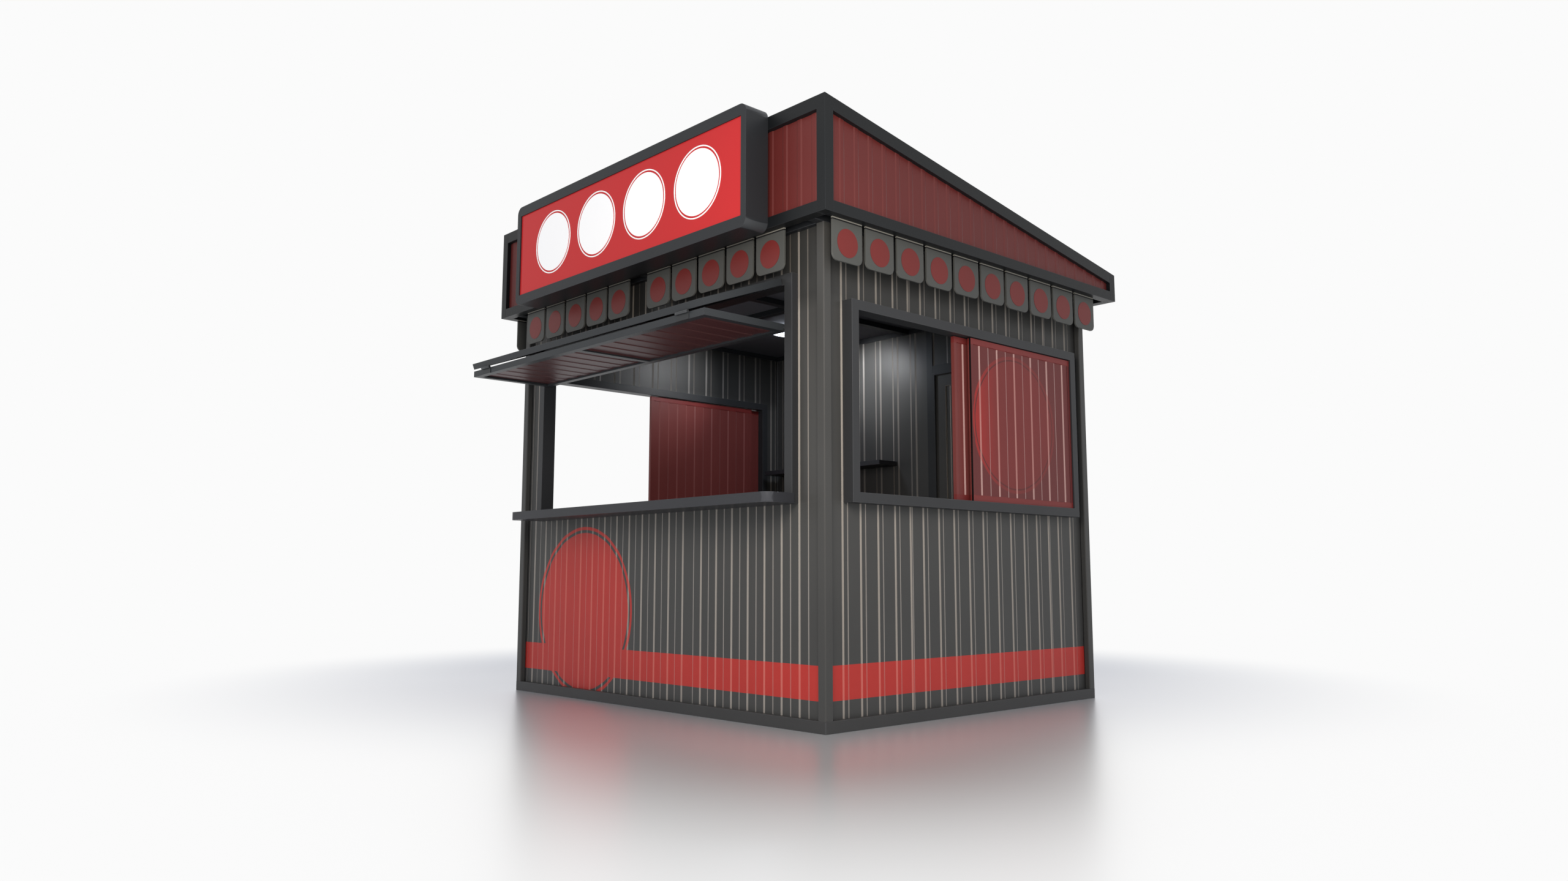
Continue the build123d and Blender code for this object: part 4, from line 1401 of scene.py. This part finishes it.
def aim(
    data: bpy.types.Light,
    place: tuple[float, float, float],
    target: tuple[float, float, float],
    power: float,
) -> bpy.types.Object:
    """Put a light in the scene and point it at its target.

    Args:
        data: The light, with its own settings.
        place: Where it hangs.
        target: Point that it faces.
        power: Power in watts.

    Returns:
        The light's object.
    """
    data.energy = power
    light = bpy.data.objects.new(data.name, data)
    light.location = place
    direction = Vector(target) - Vector(place)
    light.rotation_euler = direction.to_track_quat("-Z", "Y").to_euler()
    bpy.context.scene.collection.objects.link(light)
    return light


@dataclass
class Studio:
    """White surroundings, pale floor, soft lights and the photograph's camera."""

    white: float = 0.965
    mirrored_white: float = 0.96
    sky: float = 0.53
    sky_colour: str = "f0f4ff"
    # Gap between the underside of the ceiling lamp and the lights that stand for its glow
    lamp_gap: float = 0.02
    camera_place: tuple[float, float, float] = (4.874, -4.657, 0.696)
    camera_yaw: float = 46.89
    camera_pitch: float = 7.03
    lens: float = 25.342
    sensor: float = 36.0

    def build(self) -> None:
        """Make the surroundings, the floor, the lights and the camera."""
        self.surroundings()
        StudioFloor(self.white).build()
        self.lights()
        self.camera()
        bpy.context.scene.view_settings.view_transform = "Standard"
        log.info("studio: ready")

    def surroundings(self) -> None:
        """Show white to the camera and to reflections, and light the object more gently."""
        world = bpy.data.worlds.new("studio_surroundings")
        world.use_nodes = True
        tree = world.node_tree
        tree.nodes.clear()
        path = add_node(tree, "ShaderNodeLightPath").outputs
        seen = {0: path["Is Camera Ray"], 1: path["Is Transmission Ray"]}
        seen = add_node(tree, "ShaderNodeMath", seen, operation="MAXIMUM")
        direct = {"Value": seen, "To Min": self.sky, "To Max": self.white}
        direct = add_node(tree, "ShaderNodeMapRange", direct)
        mirrored = {0: path["Is Glossy Ray"], 1: self.mirrored_white}
        mirrored = add_node(tree, "ShaderNodeMath", mirrored, operation="MULTIPLY")
        strength = {0: direct, 1: mirrored}
        strength = add_node(tree, "ShaderNodeMath", strength, operation="MAXIMUM")
        plain = {0: seen, 1: path["Is Glossy Ray"]}
        plain = add_node(tree, "ShaderNodeMath", plain, operation="MAXIMUM")
        tints = {0: plain, 6: linear(self.sky_colour), 7: linear("ffffff")}
        colour = add_node(tree, "ShaderNodeMix", tints, data_type="RGBA").outputs[2]
        background = {"Color": colour, "Strength": strength}
        background = add_node(tree, "ShaderNodeBackground", background)
        add_node(tree, "ShaderNodeOutputWorld", {"Surface": background})
        bpy.context.scene.world = world

    def lights(self) -> None:
        """Hang three large soft lights, and let the ceiling lamp light the walls near it."""
        for light in (
            SoftLight("key_light", (2.8, -2.7, 2.1), (1.25, -1.05, 1.25), 1.2, 60.0, "fff6ea"),
            SoftLight("fill_light", (-2.5, -6.0, 4.2), (-0.3, -1.0, 1.0), 3.0, 16.0),
            SoftLight("top_light", (0.5, -0.5, 7.5), (0.0, 0.0, 2.5), 4.0, 70.0),
        ):
            light.hang().visible_glossy = False
        low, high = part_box("ceiling_lamp")
        lamp = ((low.x + high.x) / 2, (low.y + high.y) / 2, low.z - self.lamp_gap)
        SoftLight("lamp_light", lamp, (lamp[0], lamp[1], 0.0), 0.25, 5.5, "e6eefc").hang()
        WallSpot("lamp_on_back_wall", lamp, (-0.30, 1.06, 2.08), 36.0).hang()
        WallSpot("lamp_on_left_wall", lamp, (-1.30, 0.03, 2.08), 27.0).hang()

    def camera(self) -> None:
        """Put the camera where the photograph was taken from."""
        data = bpy.data.cameras.new("photo_camera")
        data.sensor_width = self.sensor
        data.lens = self.lens
        camera = bpy.data.objects.new("photo_camera", data)
        camera.location = self.camera_place
        tilt = math.radians(90 + self.camera_pitch)
        camera.rotation_euler = Euler((tilt, 0.0, math.radians(self.camera_yaw)))
        bpy.context.scene.collection.objects.link(camera)
        bpy.context.scene.camera = camera


def write_sizes() -> None:
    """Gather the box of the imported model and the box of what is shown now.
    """
    boxes = {"cad": cad_bounds, "visual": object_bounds()}
    plain = {name: [list(corner) for corner in corners] for name, corners in boxes.items()}


def main() -> None:
    """Build the kiosk's looks in order and report each piece."""
    logging.basicConfig(level=logging.INFO, format="%(name)s %(message)s")
    finishes = Finishes()
    discs = RowOfDiscs()
    Studio().build()
    Shell(finishes).build()
    SetBackWalls(finishes).build()
    Sign(finishes, RowOfRings(), discs).build()
    Valance(finishes, discs).build()
    RoofScrews(finishes, FieldOfScrews()).build()
    write_sizes()


if __name__ == "__main__":
    main()
